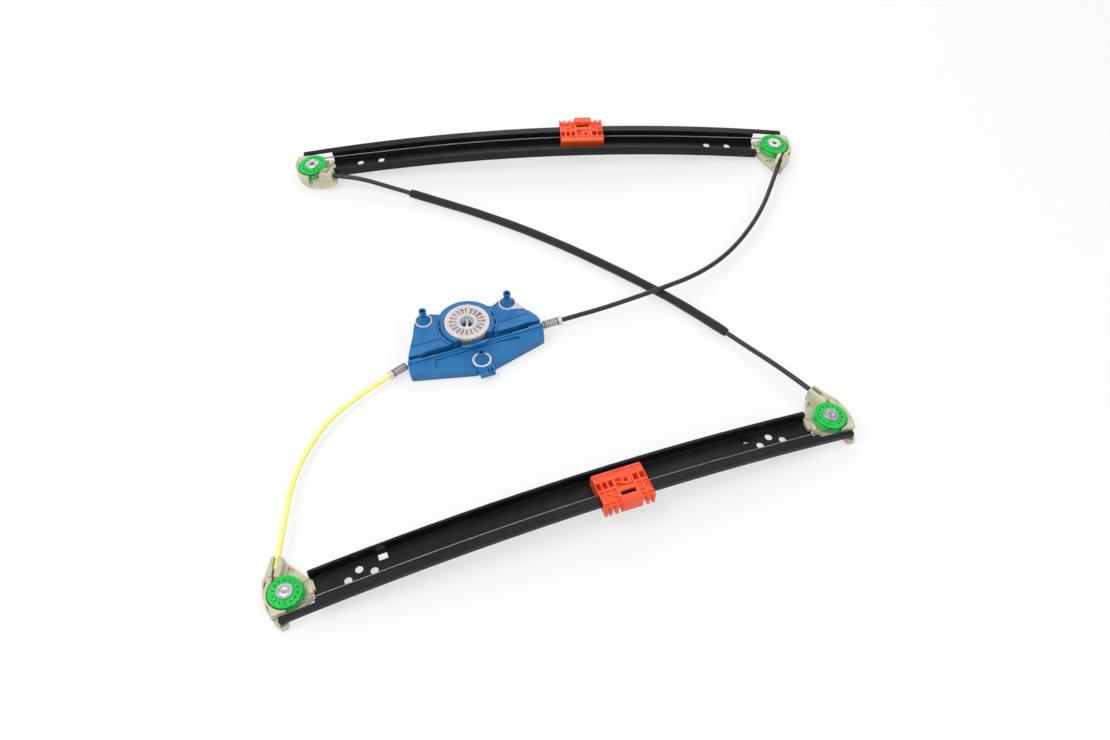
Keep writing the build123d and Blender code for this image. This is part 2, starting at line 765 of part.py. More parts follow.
# Tension springs round the sleeves, each coil drawn as a ring
coil_r = 3.85
coil_wire = 0.55
coils = 7
with BuildPart() as spring_blank:
    with BuildSketch(Plane.XZ):
        for k in range(coils):
            with Locations((1.6 + k * 2.45, coil_r)):
                RegularPolygon(radius=coil_wire, side_count=6)
    revolve(axis=Axis.X)
right_spring = right_sleeve_at * spring_blank.part
with BuildPart() as spring_right:
    add(right_spring)
spring_right.part.label = "spring_right"
export_step(spring_right.part, "parts/spring_right.step")
left_spring = left_sleeve_at * spring_blank.part
with BuildPart() as spring_left:
    add(left_spring)
spring_left.part.label = "spring_left"
export_step(spring_left.part, "parts/spring_left.step")


# Bowden sheaths: straight runs joined by arcs, from socket to socket
def bend_radii(points):
    radii = []
    for before, here, after in zip(points[:-2], points[1:-1], points[2:]):
        a = Vector(*here) - Vector(*before)
        b = Vector(*after) - Vector(*here)
        turn = math.radians(a.get_angle(b))
        radii.append(0.45 * min(a.length, b.length) / math.tan(turn / 2))
    return radii


def sheath(name, points, outer, inner, radii):
    with BuildPart() as tube:
        with BuildLine() as path:
            FilletPolyline(*points, radius=radii)
        start = Vector(*points[0])
        heading = Vector(*points[1]) - start
        with BuildSketch(Plane(origin=start, z_dir=heading)):
            Circle(outer)
            if inner > 0:
                Circle(inner, mode=Mode.SUBTRACT)
        sweep(path=path.wire())
    area = math.pi * (outer ** 2 - inner ** 2)
    print(name, "length", round(path.wire().length, 1), "radii", [round(r, 1) for r in radii],
          "volume ratio", round(tube.part.volume / (area * path.wire().length), 4))
    return tube.part


def socket_point(pulley_at, end, turn, dist):
    spot = (pulley_at * leaving_at(end, turn, dist)).position
    return (spot.X, spot.Y, spot.Z)


def sleeve_point(sleeve_at, dist):
    spot = (sleeve_at * Location((dist, 0, 0))).position
    return (spot.X, spot.Y, spot.Z)


in_corner = corner_reach - socket_depth + 0.5
in_return = return_reach - socket_depth + 0.5
in_sleeve = sleeve_long - sleeve_seat + 0.5

left_points = [
    sleeve_point(left_sleeve_at, in_sleeve),
    sleeve_point(left_sleeve_at, in_sleeve + 26.0),
    (-125.5, -108.0, -14.5),
    (-145.0, -147.0, -14.0),
    (-155.5, -190.0, -13.0),
    socket_point(lower_left_at, 1, corner_turn, in_corner + 44.0),
    socket_point(lower_left_at, 1, corner_turn, in_corner),
]
sheath_left_solid = sheath("sheath_left", left_points, sheath_r, 0, bend_radii(left_points))
with BuildPart() as sheath_left:
    add(sheath_left_solid)
sheath_left.part.label = "sheath_left"
export_step(sheath_left.part, "parts/sheath_left.step")

right_points = [
    sleeve_point(right_sleeve_at, in_sleeve),
    sleeve_point(right_sleeve_at, in_sleeve + 27.0),
    (141.0, 27.0, -9.5),
    (174.0, 39.0, -6.3),
    (204.0, 53.0, -6.3),
    (240.0, 73.0, -8.5),
    (273.0, 102.0, -10.5),
    (300.0, 138.0, -11.0),
    (323.0, 180.0, -10.8),
    socket_point(upper_right_at, 1, corner_turn, in_corner + 34.0),
    socket_point(upper_right_at, 1, corner_turn, in_corner),
]
sheath_right_solid = sheath("sheath_right", right_points, sheath_r, 0, bend_radii(right_points))
with BuildPart() as sheath_right:
    add(sheath_right_solid)
sheath_right.part.label = "sheath_right"
export_step(sheath_right.part, "parts/sheath_right.step")

cross_points = [
    socket_point(upper_left_at, -1, return_turn, in_return),
    socket_point(upper_left_at, -1, return_turn, in_return + 36.0),
    (-97.0, 213.5, -11.5),
    (-50.0, 199.0, -16.4),
    (4.0, 177.0, -17.2),
    (57.0, 150.5, -17.2),
    (108.0, 120.5, -17.2),
    (157.0, 88.0, -17.2),
    (204.0, 54.5, -17.2),
    (247.0, 18.0, -16.9),
    (285.0, -20.0, -15.0),
    socket_point(lower_right_at, -1, corner_turn, in_corner + 42.0),
    socket_point(lower_right_at, -1, corner_turn, in_corner),
]
cross_radii = bend_radii(cross_points)
sheath_cross_solid = sheath("sheath_cross", cross_points, sheath_r, 0, cross_radii)
with BuildPart() as sheath_cross:
    add(sheath_cross_solid)
sheath_cross.part.label = "sheath_cross"
export_step(sheath_cross.part, "parts/sheath_cross.step")


# Foam sleeve over the middle of the crossing sheath, on the same path
def between(a, b, part):
    return tuple(p + (q - p) * part for p, q in zip(a, b))


foam_points = [between(cross_points[2], cross_points[3], 0.5)]
foam_points += cross_points[3:10]
foam_points.append(between(cross_points[9], cross_points[10], 0.5))
foam_solid = sheath("foam_sleeve", foam_points, foam_r, sheath_r + 0.1, cross_radii[2:9])
with BuildPart() as foam_sleeve:
    add(foam_solid)
foam_sleeve.part.label = "foam_sleeve"
export_step(foam_sleeve.part, "parts/foam_sleeve.step")

for name, points in (("left", left_points), ("right", right_points), ("cross", cross_points)):
    print(name, [tuple(round(c, 1) for c in p) for p in points])
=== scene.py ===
import bpy
import math
from mathutils import Matrix, Vector


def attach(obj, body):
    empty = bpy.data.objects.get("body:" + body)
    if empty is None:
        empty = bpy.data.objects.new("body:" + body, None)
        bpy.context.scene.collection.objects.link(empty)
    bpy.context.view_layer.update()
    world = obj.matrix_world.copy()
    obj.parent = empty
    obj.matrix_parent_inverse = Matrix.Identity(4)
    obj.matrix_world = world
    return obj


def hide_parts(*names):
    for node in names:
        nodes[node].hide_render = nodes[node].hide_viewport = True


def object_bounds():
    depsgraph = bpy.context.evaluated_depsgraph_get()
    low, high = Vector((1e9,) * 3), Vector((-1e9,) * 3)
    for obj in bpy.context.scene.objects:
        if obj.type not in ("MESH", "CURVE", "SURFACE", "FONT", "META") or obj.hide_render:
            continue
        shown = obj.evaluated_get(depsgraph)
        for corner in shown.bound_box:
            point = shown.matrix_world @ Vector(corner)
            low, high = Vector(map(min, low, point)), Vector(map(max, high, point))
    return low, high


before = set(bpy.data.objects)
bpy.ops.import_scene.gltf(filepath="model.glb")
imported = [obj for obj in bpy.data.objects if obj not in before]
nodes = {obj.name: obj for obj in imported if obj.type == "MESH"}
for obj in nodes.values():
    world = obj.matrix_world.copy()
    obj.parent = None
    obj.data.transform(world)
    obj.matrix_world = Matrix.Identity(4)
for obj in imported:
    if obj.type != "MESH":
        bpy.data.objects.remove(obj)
cadLow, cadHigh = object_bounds()
print("frame loaded:", len(nodes), "nodes")

# Pieces are drawn in millimetres in their carrier's own frame, then settled in metres
toMetres = Matrix.Scale(0.001, 4)


def turned(degrees, axis="Z"):
    return Matrix.Rotation(math.radians(degrees), 4, axis)


def moved(x, y, z):
    return Matrix.Translation((x, y, z))


archRadius = 1920.0
pulleyReach = 269.0  # along the arch, from the middle of a rail to each pulley
carrierRest = 43.0  # where the glass carriers sit, along the arch
upperTurn, lowerTurn = 3.9, 20.95
upperRailAt = moved(78.5, 265.4, 8.0) @ turned(upperTurn)
lowerRailAt = moved(105.9, -210.5, 8.0) @ turned(180 + lowerTurn)
housingAt = turned(lowerTurn)


def onArch(s, y=0.0, w=0.0):
    lean = math.degrees(s / archRadius)
    return moved(0, 0, -archRadius) @ turned(lean, "Y") @ moved(0, y, archRadius + w)


def deselectAll():
    if bpy.context.object and bpy.context.object.mode != "OBJECT":
        bpy.ops.object.mode_set(mode="OBJECT")
    bpy.ops.object.select_all(action="DESELECT")


def pick(piece):
    deselectAll()
    piece.select_set(True)
    bpy.context.view_layer.objects.active = piece


def editAll(piece):
    pick(piece)
    bpy.ops.object.mode_set(mode="EDIT")
    bpy.ops.mesh.select_all(action="SELECT")


# A flat outline raised into a plate; lowAt can tilt its underside
def addPlate(name, outline, low, high, lowAt=None):
    deselectAll()
    bpy.ops.mesh.primitive_circle_add(vertices=len(outline), radius=1, fill_type="NGON")
    plate = bpy.context.object
    plate.name = name
    for corner, (x, y) in zip(plate.data.vertices, outline):
        corner.co = (x, y, high)
    editAll(plate)
    bpy.ops.mesh.extrude_region_move(TRANSFORM_OT_translate={"value": (0, 0, low - high)})
    bpy.ops.object.mode_set(mode="OBJECT")
    if lowAt:
        for corner in plate.data.vertices:
            if abs(corner.co.z - low) < 0.001:
                corner.co.z = lowAt(corner.co.y)
    editAll(plate)
    bpy.ops.mesh.normals_make_consistent(inside=False)
    bpy.ops.object.mode_set(mode="OBJECT")
    return plate


def addBlock(name, centre, size, turn=0.0, axis="Z"):
    deselectAll()
    bpy.ops.mesh.primitive_cube_add(size=1, location=centre)
    block = bpy.context.object
    block.name = name
    block.matrix_world = moved(*centre) @ turned(turn, axis) @ Matrix.Diagonal((*size, 1))
    bpy.ops.object.transform_apply(location=True, rotation=True, scale=True)
    return block


def addPin(name, centre, radius, height, sides=32, turn=0.0, axis="Y"):
    deselectAll()
    bpy.ops.mesh.primitive_cylinder_add(vertices=sides, radius=radius, depth=height)
    pin = bpy.context.object
    pin.name = name
    pin.matrix_world = moved(*centre) @ turned(turn, axis)
    bpy.ops.object.transform_apply(location=True, rotation=True, scale=True)
    return pin


# A profile of (radius, height) points spun round z
def turnProfile(name, profile, steps=64):
    deselectAll()
    bpy.ops.mesh.primitive_circle_add(vertices=len(profile), radius=1, fill_type="NOTHING")
    piece = bpy.context.object
    piece.name = name
    for corner, (r, z) in zip(piece.data.vertices, profile):
        corner.co = (r, 0, z)
    editAll(piece)
    bpy.ops.mesh.spin(steps=steps, angle=math.tau, center=(0, 0, 0), axis=(0, 0, 1))
    bpy.ops.mesh.select_all(action="SELECT")
    bpy.ops.mesh.remove_doubles(threshold=0.001)
    bpy.ops.mesh.delete_loose()
    bpy.ops.mesh.select_all(action="SELECT")
    bpy.ops.mesh.normals_make_consistent(inside=False)
    bpy.ops.object.mode_set(mode="OBJECT")
    return piece


def joinUp(pieces):
    deselectAll()
    for piece in pieces:
        piece.select_set(True)
    bpy.context.view_layer.objects.active = pieces[0]
    bpy.ops.object.join()
    return pieces[0]


def combine(piece, other, how="DIFFERENCE"):
    pick(piece)
    change = piece.modifiers.new("change", "BOOLEAN")
    change.operation = how
    change.solver = "EXACT"
    change.object = other
    bpy.ops.object.modifier_apply(modifier=change.name)
    bpy.data.objects.remove(other)
    return piece


def cutAway(piece, cutters):
    return combine(piece, joinUp(cutters), "DIFFERENCE")


def addOn(piece, others):
    for other in others:
        combine(piece, other, "UNION")
    return piece


def softenEdges(piece, width, segments=2, angle=38, smooth=40):
    pick(piece)
    edge = piece.modifiers.new("edge", "BEVEL")
    edge.width = width
    edge.segments = segments
    edge.limit_method = "ANGLE"
    edge.angle_limit = math.radians(angle)
    edge.miter_outer = "MITER_ARC"
    bpy.ops.object.modifier_apply(modifier=edge.name)
    bpy.ops.object.shade_smooth_by_angle(angle=math.radians(smooth))
    return piece


def smoothOnly(piece, angle=40):
    pick(piece)
    bpy.ops.object.shade_smooth_by_angle(angle=math.radians(angle))
    return piece


def copyOf(piece, name):
    twin = piece.copy()
    twin.data = piece.data.copy()
    twin.name = name
    bpy.context.scene.collection.objects.link(twin)
    return twin


def settle(piece, place):
    pick(piece)
    piece.matrix_world = toMetres @ place @ piece.matrix_world
    bpy.context.view_layer.update()
    bpy.ops.object.transform_apply(location=True, rotation=True, scale=True)
    return piece


def finishPiece(piece, name, place, finish, body, replaced=()):
    settle(piece, place)
    piece.name = name
    piece.data.name = name
    piece.data.materials.clear()
    piece.data.materials.append(finish)
    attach(piece, body)
    if replaced:
        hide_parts(*replaced)
    print("made", name, len(piece.data.polygons), "faces")
    return piece


# Materials
def newFinish(name):
    finish = bpy.data.materials.new(name)
    finish.use_nodes = True
    tree = finish.node_tree
    shader = tree.nodes["Principled BSDF"]
    spot = tree.nodes.new("ShaderNodeTexCoord")
    return finish, tree, shader, spot


def mixColours(tree, factor, first, second):
    mix = tree.nodes.new("ShaderNodeMix")
    mix.data_type = "RGBA"
    mix.inputs[6].default_value = (*first, 1)
    mix.inputs[7].default_value = (*second, 1)
    tree.links.new(factor, mix.inputs[0])
    return mix


def addNoise(tree, vector, scale, detail=3.0, rough=0.55):
    noise = tree.nodes.new("ShaderNodeTexNoise")
    noise.inputs["Scale"].default_value = scale
    noise.inputs["Detail"].default_value = detail
    noise.inputs["Roughness"].default_value = rough
    tree.links.new(vector, noise.inputs["Vector"])
    return noise


def addRange(tree, value, fromLow, fromHigh, toLow, toHigh):
    span = tree.nodes.new("ShaderNodeMapRange")
    span.inputs["From Min"].default_value = fromLow
    span.inputs["From Max"].default_value = fromHigh
    span.inputs["To Min"].default_value = toLow
    span.inputs["To Max"].default_value = toHigh
    tree.links.new(value, span.inputs["Value"])
    return span


def addBump(tree, shader, height, distance, strength=1.0, before=None):
    bump = tree.nodes.new("ShaderNodeBump")
    bump.inputs["Distance"].default_value = distance
    bump.inputs["Strength"].default_value = strength
    tree.links.new(height, bump.inputs["Height"])
    if before:
        tree.links.new(before.outputs["Normal"], bump.inputs["Normal"])
    tree.links.new(bump.outputs["Normal"], shader.inputs["Normal"])
    return bump


# Moulded plastic: two close tones, a fine spark-eroded grain and slow flow waves
def mouldedPlastic(name, tone, deepTone, roughLow, roughHigh, grain=0.00004, glow=0.0):
    finish, tree, shader, spot = newFinish(name)
    clouds = addNoise(tree, spot.outputs["Object"], 55, 3)
    speck = addNoise(tree, spot.outputs["Object"], 1500, 2, 0.6)
    tint = addRange(tree, clouds.outputs["Fac"], 0.32, 0.68, 0.0, 1.0)
    mix = mixColours(tree, tint.outputs["Result"], deepTone, tone)
    tree.links.new(mix.outputs[2], shader.inputs["Base Color"])
    rough = addRange(tree, speck.outputs["Fac"], 0.3, 0.7, roughLow, roughHigh)
    tree.links.new(rough.outputs["Result"], shader.inputs["Roughness"])
    fine = addBump(tree, shader, speck.outputs["Fac"], grain)
    flow = addNoise(tree, spot.outputs["Object"], 90, 1)
    addBump(tree, shader, flow.outputs["Fac"], 0.00025, 0.5, fine)
    if glow:
        shader.inputs["Subsurface Weight"].default_value = glow
        shader.inputs["Subsurface Radius"].default_value = (0.003, 0.0022, 0.0012)
        shader.inputs["Subsurface Scale"].default_value = 1.0
    return finish


# Dip-painted sheet steel: satin black with faint draw lines along the rail and dusty scuffs
def dipPaintedSteel(name, turn):
    finish, tree, shader, spot = newFinish(name)
    along = tree.nodes.new("ShaderNodeMapping")
    along.inputs["Rotation"].default_value = (0, 0, math.radians(-turn))
    along.inputs["Scale"].default_value = (0.06, 1.0, 1.0)
    tree.links.new(spot.outputs["Object"], along.inputs["Vector"])
    lines = addNoise(tree, along.outputs["Vector"], 900, 3, 0.6)
    clouds = addNoise(tree, spot.outputs["Object"], 28, 4, 0.6)
    peel = addNoise(tree, spot.outputs["Object"], 700, 2)
    dust = addRange(tree, clouds.outputs["Fac"], 0.45, 0.75, 0.0, 1.0)
    mix = mixColours(tree, dust.outputs["Result"], (0.0050, 0.0050, 0.0058), (0.0105, 0.0103, 0.0115))
    tree.links.new(mix.outputs[2], shader.inputs["Base Color"])
    rough = addRange(tree, lines.outputs["Fac"], 0.3, 0.7, 0.34, 0.46)
    tree.links.new(rough.outputs["Result"], shader.inputs["Roughness"])
    first = addBump(tree, shader, lines.outputs["Fac"], 0.00002, 0.6)
    addBump(tree, shader, peel.outputs["Fac"], 0.00003, 0.7, first)
    shader.inputs["Specular IOR Level"].default_value = 0.26
    return finish


# Plated steel: two close greys, with a fine grain that roughens the shine
def platedSteel(name, tone, darkTone, roughLow, roughHigh, scale=1200):
    finish, tree, shader, spot = newFinish(name)
    shader.inputs["Metallic"].default_value = 1.0
    clouds = addNoise(tree, spot.outputs["Object"], 240, 3)
    fine = addNoise(tree, spot.outputs["Object"], scale, 2)
    tint = addRange(tree, clouds.outputs["Fac"], 0.35, 0.65, 0.0, 1.0)
    mix = mixColours(tree, tint.outputs["Result"], darkTone, tone)
    tree.links.new(mix.outputs[2], shader.inputs["Base Color"])
    rough = addRange(tree, fine.outputs["Fac"], 0.3, 0.7, roughLow, roughHigh)
    tree.links.new(rough.outputs["Result"], shader.inputs["Roughness"])
    addBump(tree, shader, fine.outputs["Fac"], 0.00002, 0.6)
    return finish


# Stranded wire: slanting lay lines along a wire that runs at the given turn, their dark tone painted shade in the
# grooves between strands
def strandedWire(name, turn):
    finish, tree, shader, spot = newFinish(name)
    shader.inputs["Metallic"].default_value = 1.0
    lay = tree.nodes.new("ShaderNodeMapping")
    lay.inputs["Rotation"].default_value = (0, 0, math.radians(-turn - 32))
    tree.links.new(spot.outputs["Object"], lay.inputs["Vector"])
    bands = tree.nodes.new("ShaderNodeTexWave")
    bands.inputs["Scale"].default_value = 420
    bands.inputs["Distortion"].default_value = 0.4
    bands.inputs["Detail"].default_value = 1.0
    tree.links.new(lay.outputs["Vector"], bands.inputs["Vector"])
    # the dark tone is painted shade in the grooves between the strands, the light tone the bare steel
    mix = mixColours(tree, bands.outputs["Fac"], (0.10, 0.10, 0.10), (0.55, 0.54, 0.52))
    tree.links.new(mix.outputs[2], shader.inputs["Base Color"])
    rough = addRange(tree, bands.outputs["Fac"], 0.0, 1.0, 0.5, 0.3)
    tree.links.new(rough.outputs["Result"], shader.inputs["Roughness"])
    addBump(tree, shader, bands.outputs["Fac"], 0.0002, 0.8)
    return finish


# Extruded sheath: smooth plastic with slight ripples and rubbed streaks
def sheathPlastic(name, tone, deepTone, rough):
    finish, tree, shader, spot = newFinish(name)
    ripples = addNoise(tree, spot.outputs["Object"], 160, 2)
    streaks = addNoise(tree, spot.outputs["Object"], 900, 3, 0.6)
    tint = addRange(tree, ripples.outputs["Fac"], 0.35, 0.65, 0.0, 1.0)
    mix = mixColours(tree, tint.outputs["Result"], deepTone, tone)
    tree.links.new(mix.outputs[2], shader.inputs["Base Color"])
    gloss = addRange(tree, streaks.outputs["Fac"], 0.3, 0.7, rough - 0.07, rough + 0.08)
    tree.links.new(gloss.outputs["Result"], shader.inputs["Roughness"])
    first = addBump(tree, shader, ripples.outputs["Fac"], 0.0002, 0.5)
    addBump(tree, shader, streaks.outputs["Fac"], 0.00003, 0.6, first)
    return finish


# Cut foam tube: open cells with painted shade in their pits, and a matt skin
def cutFoam(name):
    finish, tree, shader, spot = newFinish(name)
    cells = tree.nodes.new("ShaderNodeTexVoronoi")
    cells.inputs["Scale"].default_value = 900
    tree.links.new(spot.outputs["Object"], cells.inputs["Vector"])
    clouds = addNoise(tree, spot.outputs["Object"], 120, 4, 0.6)
    depth = addRange(tree, cells.outputs["Distance"], 0.0, 0.7, 0.0, 1.0)
    # pit centres are painted darker: painted shade in the open cells
    mix = mixColours(tree, depth.outputs["Result"], (0.004, 0.004, 0.004), (0.016, 0.016, 0.017))
    tree.links.new(mix.outputs[2], shader.inputs["Base Color"])
    shader.inputs["Roughness"].default_value = 0.85
    shader.inputs["Sheen Weight"].default_value = 0.15
    first = addBump(tree, shader, depth.outputs["Result"], 0.0005, 0.9)
    addBump(tree, shader, clouds.outputs["Fac"], 0.0008, 0.5, first)
    return finish


upperRailPaint = dipPaintedSteel("rail_paint_upper", upperTurn)
lowerRailPaint = dipPaintedSteel("rail_paint_lower", lowerTurn)
naturalNylon = mouldedPlastic("natural_nylon", (0.60, 0.585, 0.42), (0.50, 0.48, 0.33), 0.36, 0.5, 0.00003, 0.12)
pulleyGreen = mouldedPlastic("pulley_green", (0.006, 0.60, 0.085), (0.004, 0.50, 0.062), 0.34, 0.48, 0.00003, 0.05)
carrierOrange = mouldedPlastic("carrier_orange", (0.90, 0.095, 0.022), (0.80, 0.07, 0.014), 0.38, 0.52)
housingBlue = mouldedPlastic("housing_blue", (0.002, 0.155, 0.41), (0.0015, 0.125, 0.345), 0.4, 0.54)
drumWhite = mouldedPlastic("drum_white", (0.66, 0.62, 0.63), (0.58, 0.54, 0.55), 0.38, 0.5, 0.00003, 0.05)
grommetPale = mouldedPlastic("grommet_pale", (0.66, 0.66, 0.66), (0.56, 0.56, 0.56), 0.4, 0.55)
sleeveWhite = mouldedPlastic("sleeve_white", (0.70, 0.69, 0.66), (0.62, 0.61, 0.58), 0.35, 0.5, 0.00003, 0.08)
rivetGrey = platedSteel("rivet_grey", (0.56, 0.56, 0.57), (0.42, 0.42, 0.44), 0.34, 0.5)
rivetBright = platedSteel("rivet_bright", (0.80, 0.80, 0.79), (0.68, 0.68, 0.68), 0.36, 0.5)
springSteel = platedSteel("spring_steel", (0.33, 0.33, 0.35), (0.24, 0.24, 0.26), 0.28, 0.42)
crimpZinc = platedSteel("crimp_zinc", (0.50, 0.50, 0.49), (0.38, 0.38, 0.38), 0.4, 0.55)
wireUpper = strandedWire("wire_upper_rail", upperTurn)
wireLower = strandedWire("wire_lower_rail", lowerTurn)
sheathYellow = sheathPlastic("sheath_yellow", (0.94, 0.90, 0.27), (0.88, 0.83, 0.20), 0.4)
sheathBlack = sheathPlastic("sheath_black", (0.014, 0.014, 0.015), (0.009, 0.009, 0.010), 0.4)
foamBlack = cutFoam("foam_black")
print("materials ready")

# Camera, fitted to the photograph's perspective
cameraPlan = {"place": (0.0900, -0.8368, 0.9474), "tilt": 39.2, "lens": 40.12, "sensor": 36.0}
cameraData = bpy.data.cameras.new("camera")
cameraData.lens = cameraPlan["lens"]
cameraData.sensor_width = cameraPlan["sensor"]
camera = bpy.data.objects.new("camera", cameraData)
camera.location = cameraPlan["place"]
camera.rotation_euler = (math.radians(cameraPlan["tilt"]), 0, 0)
bpy.context.scene.collection.objects.link(camera)
bpy.context.scene.camera = camera

# Cord routes in metres, the same points as the source's
leftRoute = [
    (-0.0682, -0.0542, -0.0144), (-0.0882, -0.0709, -0.0144), (-0.1255, -0.1080, -0.0145),
    (-0.1450, -0.1470, -0.0140), (-0.1555, -0.1900, -0.0130), (-0.1551, -0.2394, -0.0088),
    (-0.1568, -0.2833, -0.0113),
]
rightRoute = [
    (0.0875, 0.0094, -0.0126), (0.1127, 0.0191, -0.0126), (0.1410, 0.0270, -0.0095),
    (0.1740, 0.0390, -0.0063), (0.2040, 0.0530, -0.0063), (0.2400, 0.0730, -0.0085),
    (0.2730, 0.1020, -0.0105), (0.3000, 0.1380, -0.0110), (0.3230, 0.1800, -0.0108),
    (0.3398, 0.2259, -0.0094), (0.3510, 0.2580, -0.0113),
]
crossRoute = [
    (-0.1746, 0.2307, -0.0089), (-0.1396, 0.2236, -0.0041), (-0.0970, 0.2135, -0.0115),
    (-0.0500, 0.1990, -0.0164), (0.0040, 0.1770, -0.0172), (0.0570, 0.1505, -0.0172),
    (0.1080, 0.1205, -0.0172), (0.1570, 0.0880, -0.0172), (0.2040, 0.0545, -0.0172),
    (0.2470, 0.0180, -0.0169), (0.2850, -0.0200, -0.0150), (0.3208, -0.0592, -0.0089),
    (0.3500, -0.0893, -0.0113),
]
cordPlan = {"sheathRadius": 0.0025, "foamRadius": 0.0047, "foamBore": 0.0026, "foamSides": 28, "foamStep": 0.0011,
            "foamFrom": (-0.0735, 0.2063, -0.0140), "foamTo": (0.2660, -0.0010, -0.0160)}


def cordCurve(name, route, radius):
    curve = bpy.data.curves.new(name, "CURVE")
    curve.dimensions = "3D"
    curve.resolution_u = 24
    line = curve.splines.new("NURBS")
    line.points.add(len(route) - 1)
    for point, place in zip(line.points, route):
        point.co = (*place, 1)
    line.order_u = 3
    line.use_endpoint_u = True
    curve.bevel_depth = radius
    curve.bevel_resolution = 6
    curve.use_fill_caps = True
    piece = bpy.data.objects.new(name, curve)
    bpy.context.scene.collection.objects.link(piece)
    return piece


def centreLine(route):
    line = cordCurve("centre_line", route, 0.0)
    line.data.use_fill_caps = False
    bpy.context.view_layer.update()
    mesh = bpy.data.meshes.new_from_object(line)
    points = [v.co.copy() for v in mesh.vertices]
    bpy.data.objects.remove(line)
    return points


def lineLength(points):
    return sum((b - a).length for a, b in zip(points[:-1], points[1:]))


def evenPoints(points, step):
    gaps = [(b - a).length for a, b in zip(points[:-1], points[1:])]
    total = sum(gaps)
    count = max(2, int(total / step))
    even, along, index = [], 0.0, 0
    for k in range(count + 1):
        want = total * k / count
        while index < len(gaps) - 1 and along + gaps[index] < want:
            along += gaps[index]
            index += 1
        part = min(1.0, max(0.0, (want - along) / gaps[index]))
        even.append(points[index].lerp(points[index + 1], part))
    return even


def makeSheath(name, route, finish):
    piece = cordCurve(name, route, cordPlan["sheathRadius"])
    piece.data.materials.append(finish)
    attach(piece, "frame")
    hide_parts(name.replace("_cord", ""))
    return piece, lineLength(centreLine(route))


# The foam tube follows the crossing sheath's own line between its two ends
def makeFoam():
    line = centreLine(crossRoute)
    first = min(range(len(line)), key=lambda k: (line[k] - Vector(cordPlan["foamFrom"])).length)
    last = min(range(len(line)), key=lambda k: (line[k] - Vector(cordPlan["foamTo"])).length)
    path = evenPoints(line[first:last + 1], cordPlan["foamStep"] * 2)
    outer, bore, sides = cordPlan["foamRadius"], cordPlan["foamBore"], cordPlan["foamSides"]
    corners, faces, skin, hollow = [], [], [], []
    for k, point in enumerate(path):
        ahead = path[min(k + 1, len(path) - 1)] - path[max(k - 1, 0)]
        side = ahead.cross(Vector((0, 0, 1))).normalized()
        up = side.cross(ahead).normalized()
        # slightly uneven, as cut foam is, and drawn in at both mouths
        swell = -0.00010 + 0.00008 * math.sin(k * 0.37) + 0.00006 * math.sin(k * 0.113 + 1.3)
        edge = min(k, len(path) - 1 - k)
        swell -= 0.0004 if edge == 0 else 0.00012 if edge == 1 else 0.0
        for rows in (skin, hollow):
            rows.append([])
            for j in range(sides):
                a = math.tau * j / sides
                r = outer + swell + 0.00005 * math.sin(3 * a + k * 0.21) if rows is skin else bore
                rows[-1].append(len(corners))
                corners.append(point + side * (r * math.cos(a)) + up * (r * math.sin(a)))
    # along the skin, back through the bore, and closed where they meet
    loops = skin + hollow[::-1]
    for a, b in zip(loops, loops[1:] + loops[:1]):
        for j in range(sides):
            faces.append((a[j], b[j], b[(j + 1) % sides], a[(j + 1) % sides]))
    mesh = bpy.data.meshes.new("foam_tube")
    mesh.from_pydata([tuple(c) for c in corners], [], faces)
    piece = bpy.data.objects.new("foam_tube", mesh)
    bpy.context.scene.collection.objects.link(piece)
    editAll(piece)
    bpy.ops.mesh.normals_make_consistent(inside=False)
    bpy.ops.object.mode_set(mode="OBJECT")
    smoothOnly(piece, 50)
    piece.data.materials.append(foamBlack)
    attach(piece, "frame")
    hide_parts("foam_sleeve")
    return piece


leftSheath, leftLength = makeSheath("sheath_left_cord", leftRoute, sheathYellow)
rightSheath, rightLength = makeSheath("sheath_right_cord", rightRoute, sheathBlack)
crossSheath, crossLength = makeSheath("sheath_cross_cord", crossRoute, sheathBlack)
foamTube = makeFoam()
print("cords made:", round(leftLength, 4), round(rightLength, 4), round(crossLength, 4))

# Pulleys: grooved wheels with a stepped face and a ring of small pockets
pulleyPlan = {"rimRadius": 16.0, "half": 3.8, "grooveRadius": 12.3, "boreRadius": 4.08,
              "pocketCount": 14, "pocketRadius": 1.05, "pocketReach": 11.3, "pocketDepth": 2.0}
pulleySpots = {
    "upper_left": upperRailAt @ onArch(-pulleyReach), "upper_right": upperRailAt @ onArch(pulleyReach),
    "lower_left": lowerRailAt @ onArch(pulleyReach), "lower_right": lowerRailAt @ onArch(-pulleyReach),
}


def makePulley():
    p = pulleyPlan
    rim, half, bore, groove = p["rimRadius"], p["half"], p["boreRadius"], p["grooveRadius"]
    wheel = turnProfile("pulley", [
        (bore, -half), (rim - 0.5, -half), (rim, -half + 0.5), (rim, -2.7), (groove, -1.1), (groove, 1.1),
        (rim, 2.7), (rim, half - 0.5), (rim - 0.5, half), (13.9, half), (13.5, half - 0.45),
        (9.0, half - 0.45), (8.6, half), (bore, half)], 96)
    pockets, slots = [], []
    for k in range(p["pocketCount"]):
        a = math.tau * k / p["pocketCount"]
        pockets.append(addPin("pocket", (p["pocketReach"] * math.cos(a), p["pocketReach"] * math.sin(a), half),
                              p["pocketRadius"] * (1.0 if k % 2 else 0.8), 2 * p["pocketDepth"], 16))
        if k % 2 == 0:
            slots.append(addBlock("slot", (p["pocketReach"] * math.cos(a), p["pocketReach"] * math.sin(a), half),
                                    (0.9, 2.9, 2 * p["pocketDepth"]), math.degrees(a)))
    cutAway(wheel, pockets)
    cutAway(wheel, slots)
    return softenEdges(wheel, 0.12, 2, 30)


# Rivets the pulleys turn on: a plain stepped head below, a bright hollow one above
rivetPlan = {"headRadius": 7.7, "shaftRadius": 4.0, "tailRadius": 6.0, "headTop": 5.5, "headLow": 4.22}


